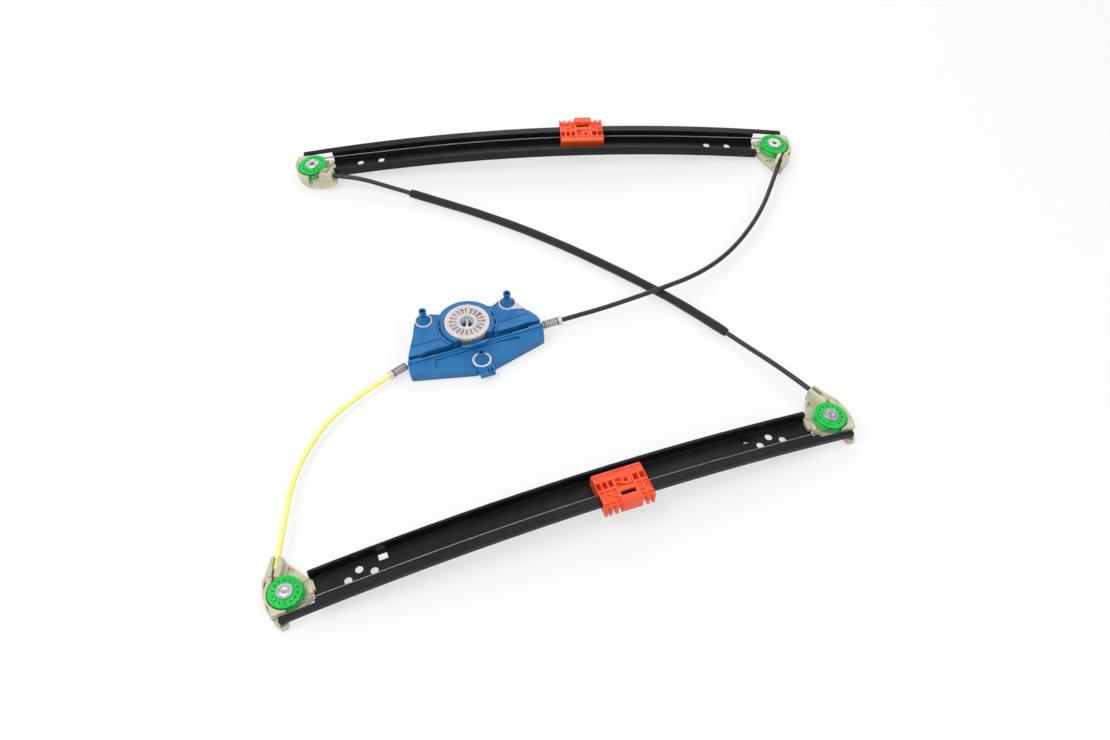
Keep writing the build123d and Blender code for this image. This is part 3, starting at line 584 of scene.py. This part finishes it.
def makeRivet(hollow):
    p = rivetPlan
    top, low, wide = p["headTop"], p["headLow"], p["headRadius"]
    if hollow:
        face = [(0, -6.0), (2.3, -6.0), (2.3, top - 0.5), (2.8, top), (4.9, top), (5.2, top - 0.25),
                (5.7, top - 0.25), (6.0, top), (wide - 0.6, top)]
    else:
        face = [(0, top - 0.75), (0.9, top - 0.75), (1.2, top - 0.35), (2.1, top - 0.3), (2.5, top - 0.05),
                (4.1, top - 0.05), (4.5, top - 0.3), (5.1, top - 0.3), (5.5, top), (wide - 0.6, top)]
    profile = face + [(wide, top - 0.45), (wide, low + 0.3), (wide - 0.3, low), (p["shaftRadius"], low),
                      (p["shaftRadius"], -9.55), (p["tailRadius"], -9.55), (p["tailRadius"], -10.5),
                      (p["tailRadius"] - 0.35, -10.85), (0, -10.85)]
    return smoothOnly(turnProfile("rivet", profile, 72), 35)


wheel = makePulley()
plainRivet = makeRivet(False)
hollowRivet = makeRivet(True)
for side, spot in pulleySpots.items():
    finishPiece(copyOf(wheel, "wheel"), "pulley_wheel_" + side, spot, pulleyGreen, side + "_pulley",
                ["pulley_" + side])
    upper = side.startswith("upper")
    finishPiece(copyOf(hollowRivet if upper else plainRivet, "rivet"), "rivet_" + side, spot,
                rivetBright if upper else rivetGrey, "frame", ["pulley_axles"])
for pattern in (wheel, plainRivet, hollowRivet):
    bpy.data.objects.remove(pattern)

# Brackets at the rail ends: points are (outboard, inward) from the pulley axis
bracketPlan = {
    "corner": {"outline": [(-8.5, 30), (5.5, 35.5), (17, 18), (20.5, 4), (20, -10), (17, -22), (13, -29),
                           (6.5, -28.5), (5, -18.5), (-3, -16.8), (-11, -15), (-20, -12), (-20, -5.5), (-24.5, -4.5), (-24.5, 5),
                           (-21, 9)], "turn": 23.4, "reach": 34.0},
    "return": {"outline": [(-27.5, 13.5), (-27.5, 28), (-10, 29), (6, 24.5), (16, 13), (20.5, 0), (20, -10),
                           (17, -22), (13, -29), (6.5, -28.5), (5, -18.5), (-3, -16.8), (-11, -15), (-20, -12), (-20, -5.5),
                           (-24.5, -4.5), (-24.5, 5), (-21, 9)], "turn": 74.8, "reach": 29.0},
    "floorLow": -9.5, "floorTop": -5.0, "rimTop": 2.4, "wireLine": 13.3, "bossHalf": 5.5, "sheathHalf": 2.62,
    "boreRadius": 4.05, "wellRadius": 16.7,
    # weight pockets, each with the height of its floor
    "pockets": {
        "corner": [(-7.4, [(-7.2, 27.5), (-12.5, 21.5), (-9.0, 18.6), (-3.4, 19.4)]),
                   (-3.0, [(13.2, 19.8), (16.6, 14.6), (17.4, 10.4), (14.2, 15.2)])],
        "return": [(-7.4, [(-24.5, 16.5), (-20.5, 13.4), (-17.0, 15.8), (-17.0, 17.4), (-24.5, 17.4)])],
        "both": [(-2.0, [(18.4, -2), (18.8, -8), (17.6, -14), (17.9, -8)]),
                 (-8.0, [(8.3, -24.6), (13.4, -25.4), (12.6, -27.4), (8.6, -27.0)])],
    },
}


def makeBracket(end, kind):
    p = bracketPlan
    outline, turn, reach = p[kind]["outline"], math.radians(p[kind]["turn"]), p[kind]["reach"]
    low, floorTop, top = p["floorLow"], p["floorTop"], p["rimTop"]

    def spot(out, inward):
        return (end * out, -inward)

    def besideWire(dist, side=0.0):
        out = (p["wireLine"] + side) * math.cos(turn) - dist * math.sin(turn)
        inward = (p["wireLine"] + side) * math.sin(turn) + dist * math.cos(turn)
        return spot(out, inward)

    heading = math.degrees(math.atan2(-math.cos(turn), -end * math.sin(turn)))
    corners = [spot(*c) for c in outline]
    body = addPlate("bracket", corners, low, floorTop)
    # raised rim outboard of the pulley
    rim = addPlate("rim", corners, floorTop - 0.5, top)
    keepOut = [addPin("well", (0, 0, 0), 17.2, 40, 96), addBlock("inner", (-end * 22, 0, 0), (52, 80, 40)),
               addBlock("lipway", (end * 10, 27, 0), (60, 18, 40))]
    for cutter in keepOut:
        combine(rim, cutter)
    x, y = besideWire(14 + (reach - 14) / 2)
    boss = addBlock("boss", (x, y, (low + 3.0) / 2), (reach - 14, 2 * p["bossHalf"], 3.0 - low), heading)
    crown = addPin("crown", (0, 0, 0), p["bossHalf"] - 0.08, reach - 14, 48, 90)
    crown.matrix_world = moved(x, y, 0.0) @ turned(heading)
    lug = addBlock("lug", (end * 10.5, 22.5, floorTop + 2.8), (5, 3, 5.6))
    keeper = addBlock("keeper", (-end * 20.6, 5.2, floorTop + 1.6), (3.2, 6.4, 4.2), end * 12)
    ledge = addBlock("ledge", (-end * 17.5, -7.2, floorTop + 0.5), (9.5, 1.8, 2.0), end * 18)
    parts = [rim, boss, crown, lug, keeper, ledge]
    if kind == "return":
        # closed block over the sheath, as the upper left end has
        hx, hy = besideWire(reach - 6)
        parts.append(addBlock("cap", (hx, hy, (low + 5.65) / 2), (12.3, 11.6, 5.55 - low), heading))
    addOn(body, parts)
    cuts = [
        addBlock("web", (-end * 27, 0, low), (10.2, 60, 2 * (-8.5 + 0.05 - low))),
        addBlock("flange", (-end * 27, -11, 0), (10.2, 3.4, 30)),
        addPin("well", (0, 0, floorTop + 10), p["wellRadius"], 20, 96),
        addPin("bore", (0, 0, 0), p["boreRadius"], 60, 48),
        addBlock("groove", (*besideWire(reach / 2), 0), (reach, 2.6, 2.6), heading),
        addBlock("open_groove", (*besideWire(reach / 2 - 3), 6), (reach - 4, 2.4, 12), heading),
    ]
    sx, sy = besideWire(reach - 4.0)
    socket = addPin("socket", (0, 0, 0), p["sheathHalf"], 16, 40, 90)
    socket.matrix_world = moved(sx, sy, 0) @ turned(heading)
    cuts.append(socket)
    if kind == "corner":
        cuts.append(addBlock("open_top", (sx, sy, 6), (16, 4.2, 12), heading))
    for bottom, edge in p["pockets"][kind] + p["pockets"]["both"]:
        cuts.append(addPlate("pocket", [spot(*c) for c in edge], bottom, 9))
    for cutter in cuts:
        combine(body, cutter)
    return softenEdges(body, 0.32, 2, 32, 45)


for side, end, kind in (("upper_left", -1, "return"), ("upper_right", 1, "corner"),
                        ("lower_left", 1, "corner"), ("lower_right", -1, "corner")):
    finishPiece(makeBracket(end, kind), "nylon_bracket_" + side, pulleySpots[side], naturalNylon, "frame",
                ["bracket_" + side])

# Springs and end sleeves at the ends of the slit, each drawn along its own x
sleevePlan = {
    "left": {"place": housingAt @ moved(-72.2, -22.5, -14.4) @ turned(198.9)},
    "right": {"place": housingAt @ moved(73.6, -22.5, -12.6)},
    "coilRadius": 3.85, "wireRadius": 0.5, "pitch": 2.45, "turns": 6, "start": 1.6,
}


def coilOf(radius, wire, pitch, turns, steps, sides):
    deselectAll()
    bpy.ops.mesh.primitive_circle_add(vertices=sides, radius=wire, fill_type="NOTHING")
    coil = bpy.context.object
    coil.matrix_world = moved(radius, 0, 0) @ turned(90, "X")
    bpy.ops.object.transform_apply(location=True, rotation=True, scale=True)
    wind = coil.modifiers.new("wind", "SCREW")
    wind.angle = math.tau
    wind.screw_offset = pitch
    wind.iterations = turns
    wind.steps = steps
    wind.render_steps = steps
    wind.axis = "Z"
    bpy.ops.object.modifier_apply(modifier=wind.name)
    editAll(coil)
    bpy.ops.mesh.select_all(action="DESELECT")
    bpy.ops.mesh.select_non_manifold(extend=False)
    bpy.ops.mesh.edge_face_add()
    bpy.ops.mesh.select_all(action="SELECT")
    bpy.ops.mesh.normals_make_consistent(inside=False)
    bpy.ops.object.mode_set(mode="OBJECT")
    return coil


def makeSpring():
    p = sleevePlan
    coil = coilOf(p["coilRadius"], p["wireRadius"], p["pitch"], p["turns"], 40, 12)
    ends = []
    for height in (0.0, p["pitch"] * p["turns"]):
        deselectAll()
        bpy.ops.mesh.primitive_torus_add(major_radius=p["coilRadius"], minor_radius=p["wireRadius"] * 0.98,
                                         major_segments=40, minor_segments=12, location=(0, 0, height))
        ends.append(bpy.context.object)
    spring = joinUp([coil] + ends)
    spring.matrix_world = moved(p["start"], 0, 0) @ turned(90, "Y")
    return smoothOnly(spring, 60)


def makeSleeve():
    sleeve = turnProfile("sleeve", [
        (1.2, 0), (2.9, 0), (3.2, 0.4), (3.2, 17.2), (3.5, 17.6), (4.2, 17.6), (4.6, 18.0), (4.6, 20.4),
        (4.2, 21.0), (2.6, 21.0), (2.6, 11.0), (1.2, 11.0)], 48)
    slots = [addBlock("nick", (4.9 * math.cos(a), 4.9 * math.sin(a), 19.6), (1.2, 1.1, 1.4), math.degrees(a))
             for a in [math.tau * k / 8 for k in range(8)]]
    cutAway(sleeve, slots)
    sleeve.matrix_world = turned(90, "Y")
    return softenEdges(sleeve, 0.1, 1, 35)


spring = makeSpring()
sleeve = makeSleeve()
for side in ("left", "right"):
    place = sleevePlan[side]["place"]
    finishPiece(copyOf(spring, "spring"), "coil_spring_" + side, place, springSteel, "frame",
                ["spring_" + side])
    finishPiece(copyOf(sleeve, "sleeve"), "end_sleeve_" + side, place, sleeveWhite, "frame",
                ["end_sleeves"])
bpy.data.objects.remove(spring)
bpy.data.objects.remove(sleeve)

# Drum: flanged wheel with wedge pockets, a radial rib and the bar that the motor drives
drumPlan = {"flange": 23.4, "core": 21.8, "deep": 19.4, "pockets": 20, "socket": 7.4, "spigotBore": 6.88}


def makeDrum():
    p = drumPlan
    wheel = turnProfile("drum", [
        (p["spigotBore"], -5.0), (p["socket"], -5.0), (p["socket"], -0.3), (p["socket"] + 0.3, 0), (9.0, 0),
        (9.25, -0.3), (9.9, -0.3), (10.1, 0), (18.9, 0), (19.2, -0.35), (20.0, -0.35), (20.3, 0), (p["flange"] - 0.5, 0),
        (p["flange"], -0.5), (p["flange"], -4.0), (p["core"], -4.0), (p["core"], -18.0), (p["flange"], -18.0),
        (p["flange"], -p["deep"]), (p["spigotBore"], -p["deep"])], 96)
    pockets = []
    for k in range(p["pockets"]):
        turn = 360.0 * k / p["pockets"]
        wedge = addPlate("wedge", [(10.6, -1.0), (17.7, -2.1), (18.4, -1.5), (18.4, 1.5), (17.7, 2.1), (10.6, 1.0)],
                         -3.4, 1.0)
        wedge.matrix_world = turned(turn)
        pockets.append(wedge)
    cutAway(wheel, pockets)
    bar = addBlock("bar", (0, 0, -6.4), (14.2, 2.2, 2.8), 69)
    foot = addPlate("foot", [(-1.1, -2.0), (1.1, -2.0), (3.0, -7.0), (-3.0, -7.0)], -7.6, -4.2)
    foot.matrix_world = turned(69 - 90)
    rib = addBlock("rib", (15.4 * math.cos(math.radians(69)), 15.4 * math.sin(math.radians(69)), -1.1),
                   (15.4, 1.9, 3.6), 69)
    addOn(wheel, [bar, foot, rib])
    return softenEdges(wheel, 0.18, 2, 32)


finishPiece(makeDrum(), "drum_wheel", housingAt, drumWhite, "drum", ["drum"])
winding = smoothOnly(coilOf(22.5, 0.7, 1.5, 8, 72, 10), 60)
finishPiece(winding, "wound_wire", moved(0, 0, -16.5) @ turned(-60), wireLower, "drum",
            ["drum_windings"])

# Housing of the drum, drawn with x along its wire slit
housingPlan = {
    "outline": [(-71, -25), (-71.5, -38), (-9, -54.5), (9, -54.5), (70, -38), (73, -26), (71, -14), (66, -5), (58, 4),
                (55, 17), (44, 21), (32, 15), (20, 21), (-20, 22), (-31, 27), (-44, 29), (-50.5, 20), (-56, 6),
                (-65, -12)],
    "low": -19.8, "plateTop": -5.0, "ringRadius": 27.6, "ringTop": -1.2, "wellRadius": 24.2,
    "farPosts": [(-40.5, 19.6), (47.9, 12.1)], "nearPost": (0.5, -45.0), "farTop": 12.0, "nearTop": 2.0,
    "nearFoot": -11.0, "boreRadius": 2.2,
    "slotTurns": [-36, -15, 6, 158, 176, 192, 207, 221],
}


def nearSlope(y):
    return -6.0 + (y + 27.0) * (16.0 / 53.0)


def makePost(x, y, foot, top):
    post = turnProfile("post", [
        (2.2, foot - 2), (7.4, foot - 2), (7.4, foot), (6.6, foot + 0.9), (4.6, foot + 4.6), (4.2, foot + 6.6),
        (3.5, foot + 7.3), (3.5, top - 2.6), (3.9, top - 2.1), (3.9, top - 0.5), (3.6, top), (2.9, top),
        (2.6, top - 0.5), (2.2, top - 1.1)], 48)
    post.matrix_world = moved(x, y, 0)
    return post


def makeHousing():
    p = housingPlan
    low, top = p["low"], p["plateTop"]
    body = addPlate("housing", p["outline"], low, top)
    wedge = addPlate("wedge", [(-95, -85), (95, -85), (95, -28.6), (-95, -28.6)], -22, 6,
                     lambda y: nearSlope(y) - 0.4)
    combine(body, wedge)
    # shallow raised lands round the far posts, then the ring round the drum
    lands = [
        addPlate("land", [(-63, -8), (-31, -8), (-29, 8), (-33, 24), (-43.4, 27.6), (-49.2, 19.4), (-54.6, 5.6)],
                 top - 1, top + 0.9),
        addPlate("land", [(31, -9), (64, -7.6), (57, 3.4), (54, 16.2), (44, 19.8), (33, 14.2)], top - 1, top + 0.7),
        turnProfile("ring", [(20, low + 0.01), (p["ringRadius"], low + 0.01), (p["ringRadius"], p["ringTop"] - 0.8),
                             (p["ringRadius"] - 0.8, p["ringTop"]), (20, p["ringTop"])], 96),
        turnProfile("pad", [(20, low + 0.02), (31.6, low + 0.02), (31.6, top + 1.2), (31.0, top + 1.6),
                            (20, top + 1.6)], 96),
    ]
    addOn(body, lands)
    # near side: sunk field with slanting ends, between the slit wall and the clip
    field = addPlate("field", [(-44, -30.6), (43, -30.6), (47, -33.5), (9, -49.5), (-9, -50.5), (-47, -39.5)], -22, 6,
                     lambda y: nearSlope(y) - 2.4)
    flat = addPin("flat", (*p["nearPost"], p["nearFoot"] + 8.95), 10.2, 20, 64)
    combine(body, field)
    combine(body, flat)
    addOn(body, [addBlock("rib", (x, -31.4, -11.5), (1.5, 5.0, 8.0)) for x in (-2.0, 3.4)])
    posts = [makePost(x, y, top + 0.6, p["farTop"]) for x, y in p["farPosts"]]
    posts.append(makePost(*p["nearPost"], p["nearFoot"], p["nearTop"]))
    addOn(body, posts)
    # clip for the wiring: a curved shell with two grooves
    clip = addBlock("clip", (1.0, -58.0, -14.6), (15.6, 11.0, 8.6))
    tunnel = addPin("tunnel", (0, 0, 0), 4.6, 20, 40, 90)
    tunnel.matrix_world = moved(1.0, -59.6, -19.4)
    seat = addPin("seat", (*p["nearPost"], p["nearFoot"] + 8.95), 10.2, 20, 64)
    slant = addBlock("slant", (1.0, -64.6, -9.0), (20, 6, 9), 38, "X")
    grooves = [addBlock("groove", (x, -60.5, -10.2), (1.1, 9.0, 8.0)) for x in (2.6, 6.0)]
    combine(clip, tunnel)
    combine(clip, seat)
    combine(clip, slant)
    for groove in grooves:
        combine(clip, groove)
    combine(body, clip, "UNION")
    # well, slit with narrow ends, screw bores, notch and slots of the ring
    cuts = [
        addPin("well", (0, 0, 0), p["wellRadius"], 60, 96),
        addBlock("slit", (0, -23.5, 0), (100, 7.0, 36.8)),
        addBlock("slit_end", (0, -22.6, 0.1), (190, 4.4, 36.4)),
        addBlock("slit_step", (56, -20.6, 0), (14, 2.6, 33.0)),
        addBlock("slit_step", (-55, -20.6, 0), (12, 2.2, 33.0)),
        addBlock("liner_way", (49, -25.85, 0), (16.4, 2.3, 36.6)),
        addBlock("liner_way", (-49, -25.85, 0), (16.4, 2.3, 36.6)),
        addBlock("notch", (8.7, 25.0, p["ringTop"]), (3.0, 8.0, 5.0), -18),
    ]
    for x, y in p["farPosts"] + [p["nearPost"]]:
        cuts.append(addPin("bore", (x, y, 0), p["boreRadius"], 60, 40))
    for turn in p["slotTurns"]:
        a = math.radians(turn)
        cuts.append(addBlock("ring_slot", (28.9 * math.cos(a), 28.9 * math.sin(a), -5), (1.3, 7.4, 8.0), turn))
    cuts.append(addBlock("hollow", (-43, -3, low), (26, 22, 22)))
    cuts.append(addBlock("hollow", (46, -6, low), (26, 18, 22)))
    for cutter in cuts:
        combine(body, cutter)
    return softenEdges(body, 0.35, 2, 30, 42)


finishPiece(makeHousing(), "blue_housing", housingAt, housingBlue, "frame", ["drum_housing"])

# Pale rings at the feet of the posts; the right one has a pointed tab
grommetPlan = {"bore": 7.45, "far": 9.0, "near": 9.9, "farLow": -4.35, "nearLow": -11.95,
               "tab": [(50.5, 19.5), (62.0, -1.0), (49.5, 2.6)]}


def makeGrommet(x, y, radius, low, tab=None):
    p = grommetPlan
    ring = turnProfile("ring", [(p["bore"], low), (radius, low), (radius, low + 1.2), (radius - 0.3, low + 1.5),
                                (p["bore"] + 0.3, low + 1.5), (p["bore"], low + 1.2)], 64)
    ring.matrix_world = moved(x, y, 0)
    if tab:
        leaf = addPlate("leaf", tab, low + 0.02, low + 1.35)
        combine(ring, leaf, "UNION")
        combine(ring, addPin("bore", (x, y, low), p["bore"], 12, 64))
    return softenEdges(ring, 0.15, 2, 35)


(xLeft, yLeft), (xRight, yRight) = housingPlan["farPosts"]
finishPiece(makeGrommet(xLeft, yLeft, grommetPlan["far"], grommetPlan["farLow"]), "grommet_left", housingAt,
            grommetPale, "frame", ["grommets"])
finishPiece(makeGrommet(xRight, yRight, grommetPlan["far"], grommetPlan["farLow"], grommetPlan["tab"]),
            "grommet_right", housingAt, grommetPale, "frame", ["grommets"])
finishPiece(makeGrommet(*housingPlan["nearPost"], grommetPlan["near"], grommetPlan["nearLow"]), "grommet_near",
            housingAt, grommetPale, "frame", ["grommets"])

# Glass carriers: ribbed plates that grip the outer lip; hand flips them end for end
carrierPlan = {"half": 24.5, "inner": -3.5, "outer": 32.5, "top": 5.7, "deckLow": 2.8, "keelLow": -7.9,
               "gripIn": 16.65, "besideLip": 26.45, "underLip": -4.15,
               "ribs": [-24.5, -18.6, -12.7, -6.8, 11.4, 17.9, 24.5], "ribWide": 1.5}


def makeCarrier(hand):
    p = carrierPlan
    half, inner, outer, top = p["half"], p["inner"], p["outer"], p["top"]
    body = addPlate("carrier", [(-half, inner + 1.2), (-half + 1.2, inner), (half - 1.2, inner), (half, inner + 1.2),
                                (half, outer - 0.8), (half - 0.8, outer), (-half + 0.8, outer), (-half, outer - 0.8)],
                    p["deckLow"], top)
    keel = addBlock("keel", (0, (inner + p["gripIn"]) / 2, (p["keelLow"] + p["deckLow"] + 0.4) / 2),
                    (2 * half - 0.02, p["gripIn"] - inner - 0.02, p["deckLow"] + 0.4 - p["keelLow"]))
    parts = [keel]
    for x in p["ribs"]:
        left = max(min(hand * x, half - 1.4), 1.4 - half)
        parts.append(addBlock("finger", (left, (p["besideLip"] + outer + 1.5) / 2, (top - 0.6 - 7.8) / 2),
                              (2.78, outer + 1.5 - p["besideLip"], top - 0.6 + 7.8)))
        parts.append(addBlock("hook", (left, (26.1 - 2.4 + outer) / 2, (p["underLip"] - 7.8) / 2),
                              (2.74, outer - 26.1 + 2.4, 7.8 + p["underLip"])))
    parts.append(addBlock("clamp", (hand * 2.5, (p["besideLip"] + 35) / 2, (top + 2.2 - 6) / 2),
                          (19, 35 - p["besideLip"], 6 + top + 2.2)))
    addOn(body, parts)
    cuts = []
    ribs = p["ribs"]
    for k, (low, high) in enumerate(zip(ribs[:-1], ribs[1:])):
        cell = high - low - p["ribWide"]
        mid = hand * (low + high) / 2
        if cell > 12:
            continue
        cuts.append(addBlock("shallow", (mid, 1.7, top), (cell, 6.6, 2.2)))
        cuts.append(addBlock("deep", (mid, 10.0, top), (cell, 7.6, 16.0)))
        cuts.append(addBlock("over_lip", (mid, 21.6, top), (cell, 11.0, 3.6)))
        cuts.append(addBlock("gap", (mid, 32.0, top), (cell, 6.4, 3.6)))
    cuts.append(addBlock("recess", (hand * 2.3, 1.6, top), (15.6, 7.2, 1.8)))
    cuts.append(addBlock("well", (hand * 2.3, 11.4, top), (15.6, 9.8, 8.0)))
    for cutter in cuts:
        combine(body, cutter)
    # boss for the screw, webs beside it and slanting ribs over the lip
    extras = [addPin("boss", (hand * 5.0, 9.8, top - 4.2), 5.0, 8.0, 40),
              addBlock("web", (hand * -2.6, 10.6, top - 2.2), (8.0, 1.3, 4.0), hand * 28),
              addBlock("web", (hand * 8.8, 12.8, top - 2.2), (1.3, 5.2, 4.0)),
              addBlock("slant", (hand * -12.7, 21.4, top - 1.0), (13.6, 1.4, 1.7), hand * 32),
              addBlock("slant", (hand * 17.9, 21.4, top - 1.0), (11.8, 1.4, 1.7), hand * -36)]
    addOn(body, extras)
    last = [addPin("screw_hole", (hand * 5.0, 9.8, 0), 2.1, 40, 32),
            addPin("screw_seat", (hand * 5.0, 9.8, top + 0.2), 3.1, 1.6, 32),
            addBlock("slot", (hand * 2.3, 23.4, top), (15.0, 5.6, 20.0)),
            addBlock("wire_way", (0, 13.3, -6.1), (60, 2.1, 11.8))]
    for x in (-13.5, 13.5):
        last.append(addBlock("ferrule_seat", (x, 13.3, -4.5), (7.1, 3.9, 7.95)))
    for cutter in last:
        combine(body, cutter)
    return softenEdges(body, 0.28, 2, 30, 45)


finishPiece(makeCarrier(1), "glass_carrier_upper", upperRailAt @ onArch(carrierRest), carrierOrange, "upper_carrier",
            ["carrier_upper"])
finishPiece(makeCarrier(-1), "glass_carrier_lower", lowerRailAt @ onArch(-carrierRest), carrierOrange,
            "lower_carrier", ["carrier_lower"])

for nodeName, finish in (
    ("rail_upper", upperRailPaint), ("rail_lower", lowerRailPaint),
    ("bracket_upper_left", naturalNylon), ("bracket_upper_right", naturalNylon),
    ("bracket_lower_left", naturalNylon), ("bracket_lower_right", naturalNylon),
    ("pulley_axles", rivetGrey),
    ("pulley_upper_left", pulleyGreen), ("pulley_upper_right", pulleyGreen),
    ("pulley_lower_left", pulleyGreen), ("pulley_lower_right", pulleyGreen),
    ("wire_upper", wireUpper), ("wire_lower", wireLower), ("wire_turns", wireLower), ("wire_drum", wireLower),
    ("carrier_upper", carrierOrange), ("carrier_lower", carrierOrange),
    ("ferrules_upper", crimpZinc), ("ferrules_lower", crimpZinc),
    ("drum_housing", housingBlue), ("housing_cover", housingBlue),
    ("grommets", grommetPale), ("slit_liners", grommetPale),
    ("drum", drumWhite), ("drum_windings", wireLower),
    ("end_sleeves", sleeveWhite), ("spring_left", springSteel), ("spring_right", springSteel),
):
    node = nodes[nodeName]
    node.data.materials.clear()
    node.data.materials.append(finish)

# Floor and soft lamps; paperShare is how far the seen floor goes to plain white
studioPlan = {"floorSize": 12, "underPart": 0.0004, "floorTone": (0.86, 0.86, 0.87), "paperShare": 0.62,
              "daylight": 0.55}
floorLevel = cadLow.z - studioPlan["underPart"]
bpy.ops.mesh.primitive_plane_add(size=studioPlan["floorSize"], location=(0.09, 0, floorLevel))
floor = bpy.context.object
floor.name = "studio_floor"
floorFinish, tree, shader, spot = newFinish("studio_floor")
shader.inputs["Base Color"].default_value = (*studioPlan["floorTone"], 1)
shader.inputs["Roughness"].default_value = 0.7
raySort = tree.nodes.new("ShaderNodeLightPath")
seen = raySort.outputs["Is Camera Ray"]
for kind in ("Is Glossy Ray", "Is Transmission Ray"):
    either = tree.nodes.new("ShaderNodeMath")
    either.operation = "MAXIMUM"
    tree.links.new(seen, either.inputs[0])
    tree.links.new(raySort.outputs[kind], either.inputs[1])
    seen = either.outputs["Value"]
share = tree.nodes.new("ShaderNodeMath")
share.operation = "MULTIPLY"
share.inputs[1].default_value = studioPlan["paperShare"]
tree.links.new(seen, share.inputs[0])
paper = tree.nodes.new("ShaderNodeEmission")
blend = tree.nodes.new("ShaderNodeMixShader")
tree.links.new(share.outputs["Value"], blend.inputs["Fac"])
tree.links.new(shader.outputs["BSDF"], blend.inputs[1])
tree.links.new(paper.outputs["Emission"], blend.inputs[2])
tree.links.new(blend.outputs["Shader"], tree.nodes["Material Output"].inputs["Surface"])
floor.data.materials.append(floorFinish)

world = bpy.data.worlds.new("studio")
bpy.context.scene.world = world
world.use_nodes = True
world.node_tree.nodes["Background"].inputs["Color"].default_value = (1, 1, 1, 1)
world.node_tree.nodes["Background"].inputs["Strength"].default_value = studioPlan["daylight"]
lampPlan = [
    {"name": "key", "place": (-0.9, -0.5, 1.7), "size": 1.3, "power": 21},
    {"name": "fill", "place": (1.3, -0.9, 1.3), "size": 1.4, "power": 9},
    {"name": "rim", "place": (0.2, 1.5, 1.2), "size": 1.2, "power": 9},
]
for plan in lampPlan:
    lampData = bpy.data.lights.new(plan["name"], "AREA")
    lampData.size = plan["size"]
    lampData.energy = plan["power"]
    lamp = bpy.data.objects.new(plan["name"], lampData)
    lamp.location = plan["place"]
    lamp.rotation_euler = (Vector((0.09, 0, 0)) - Vector(plan["place"])).to_track_quat("-Z", "Y").to_euler()
    bpy.context.scene.collection.objects.link(lamp)
bpy.context.scene.view_settings.view_transform = "Standard"
print("stage ready")
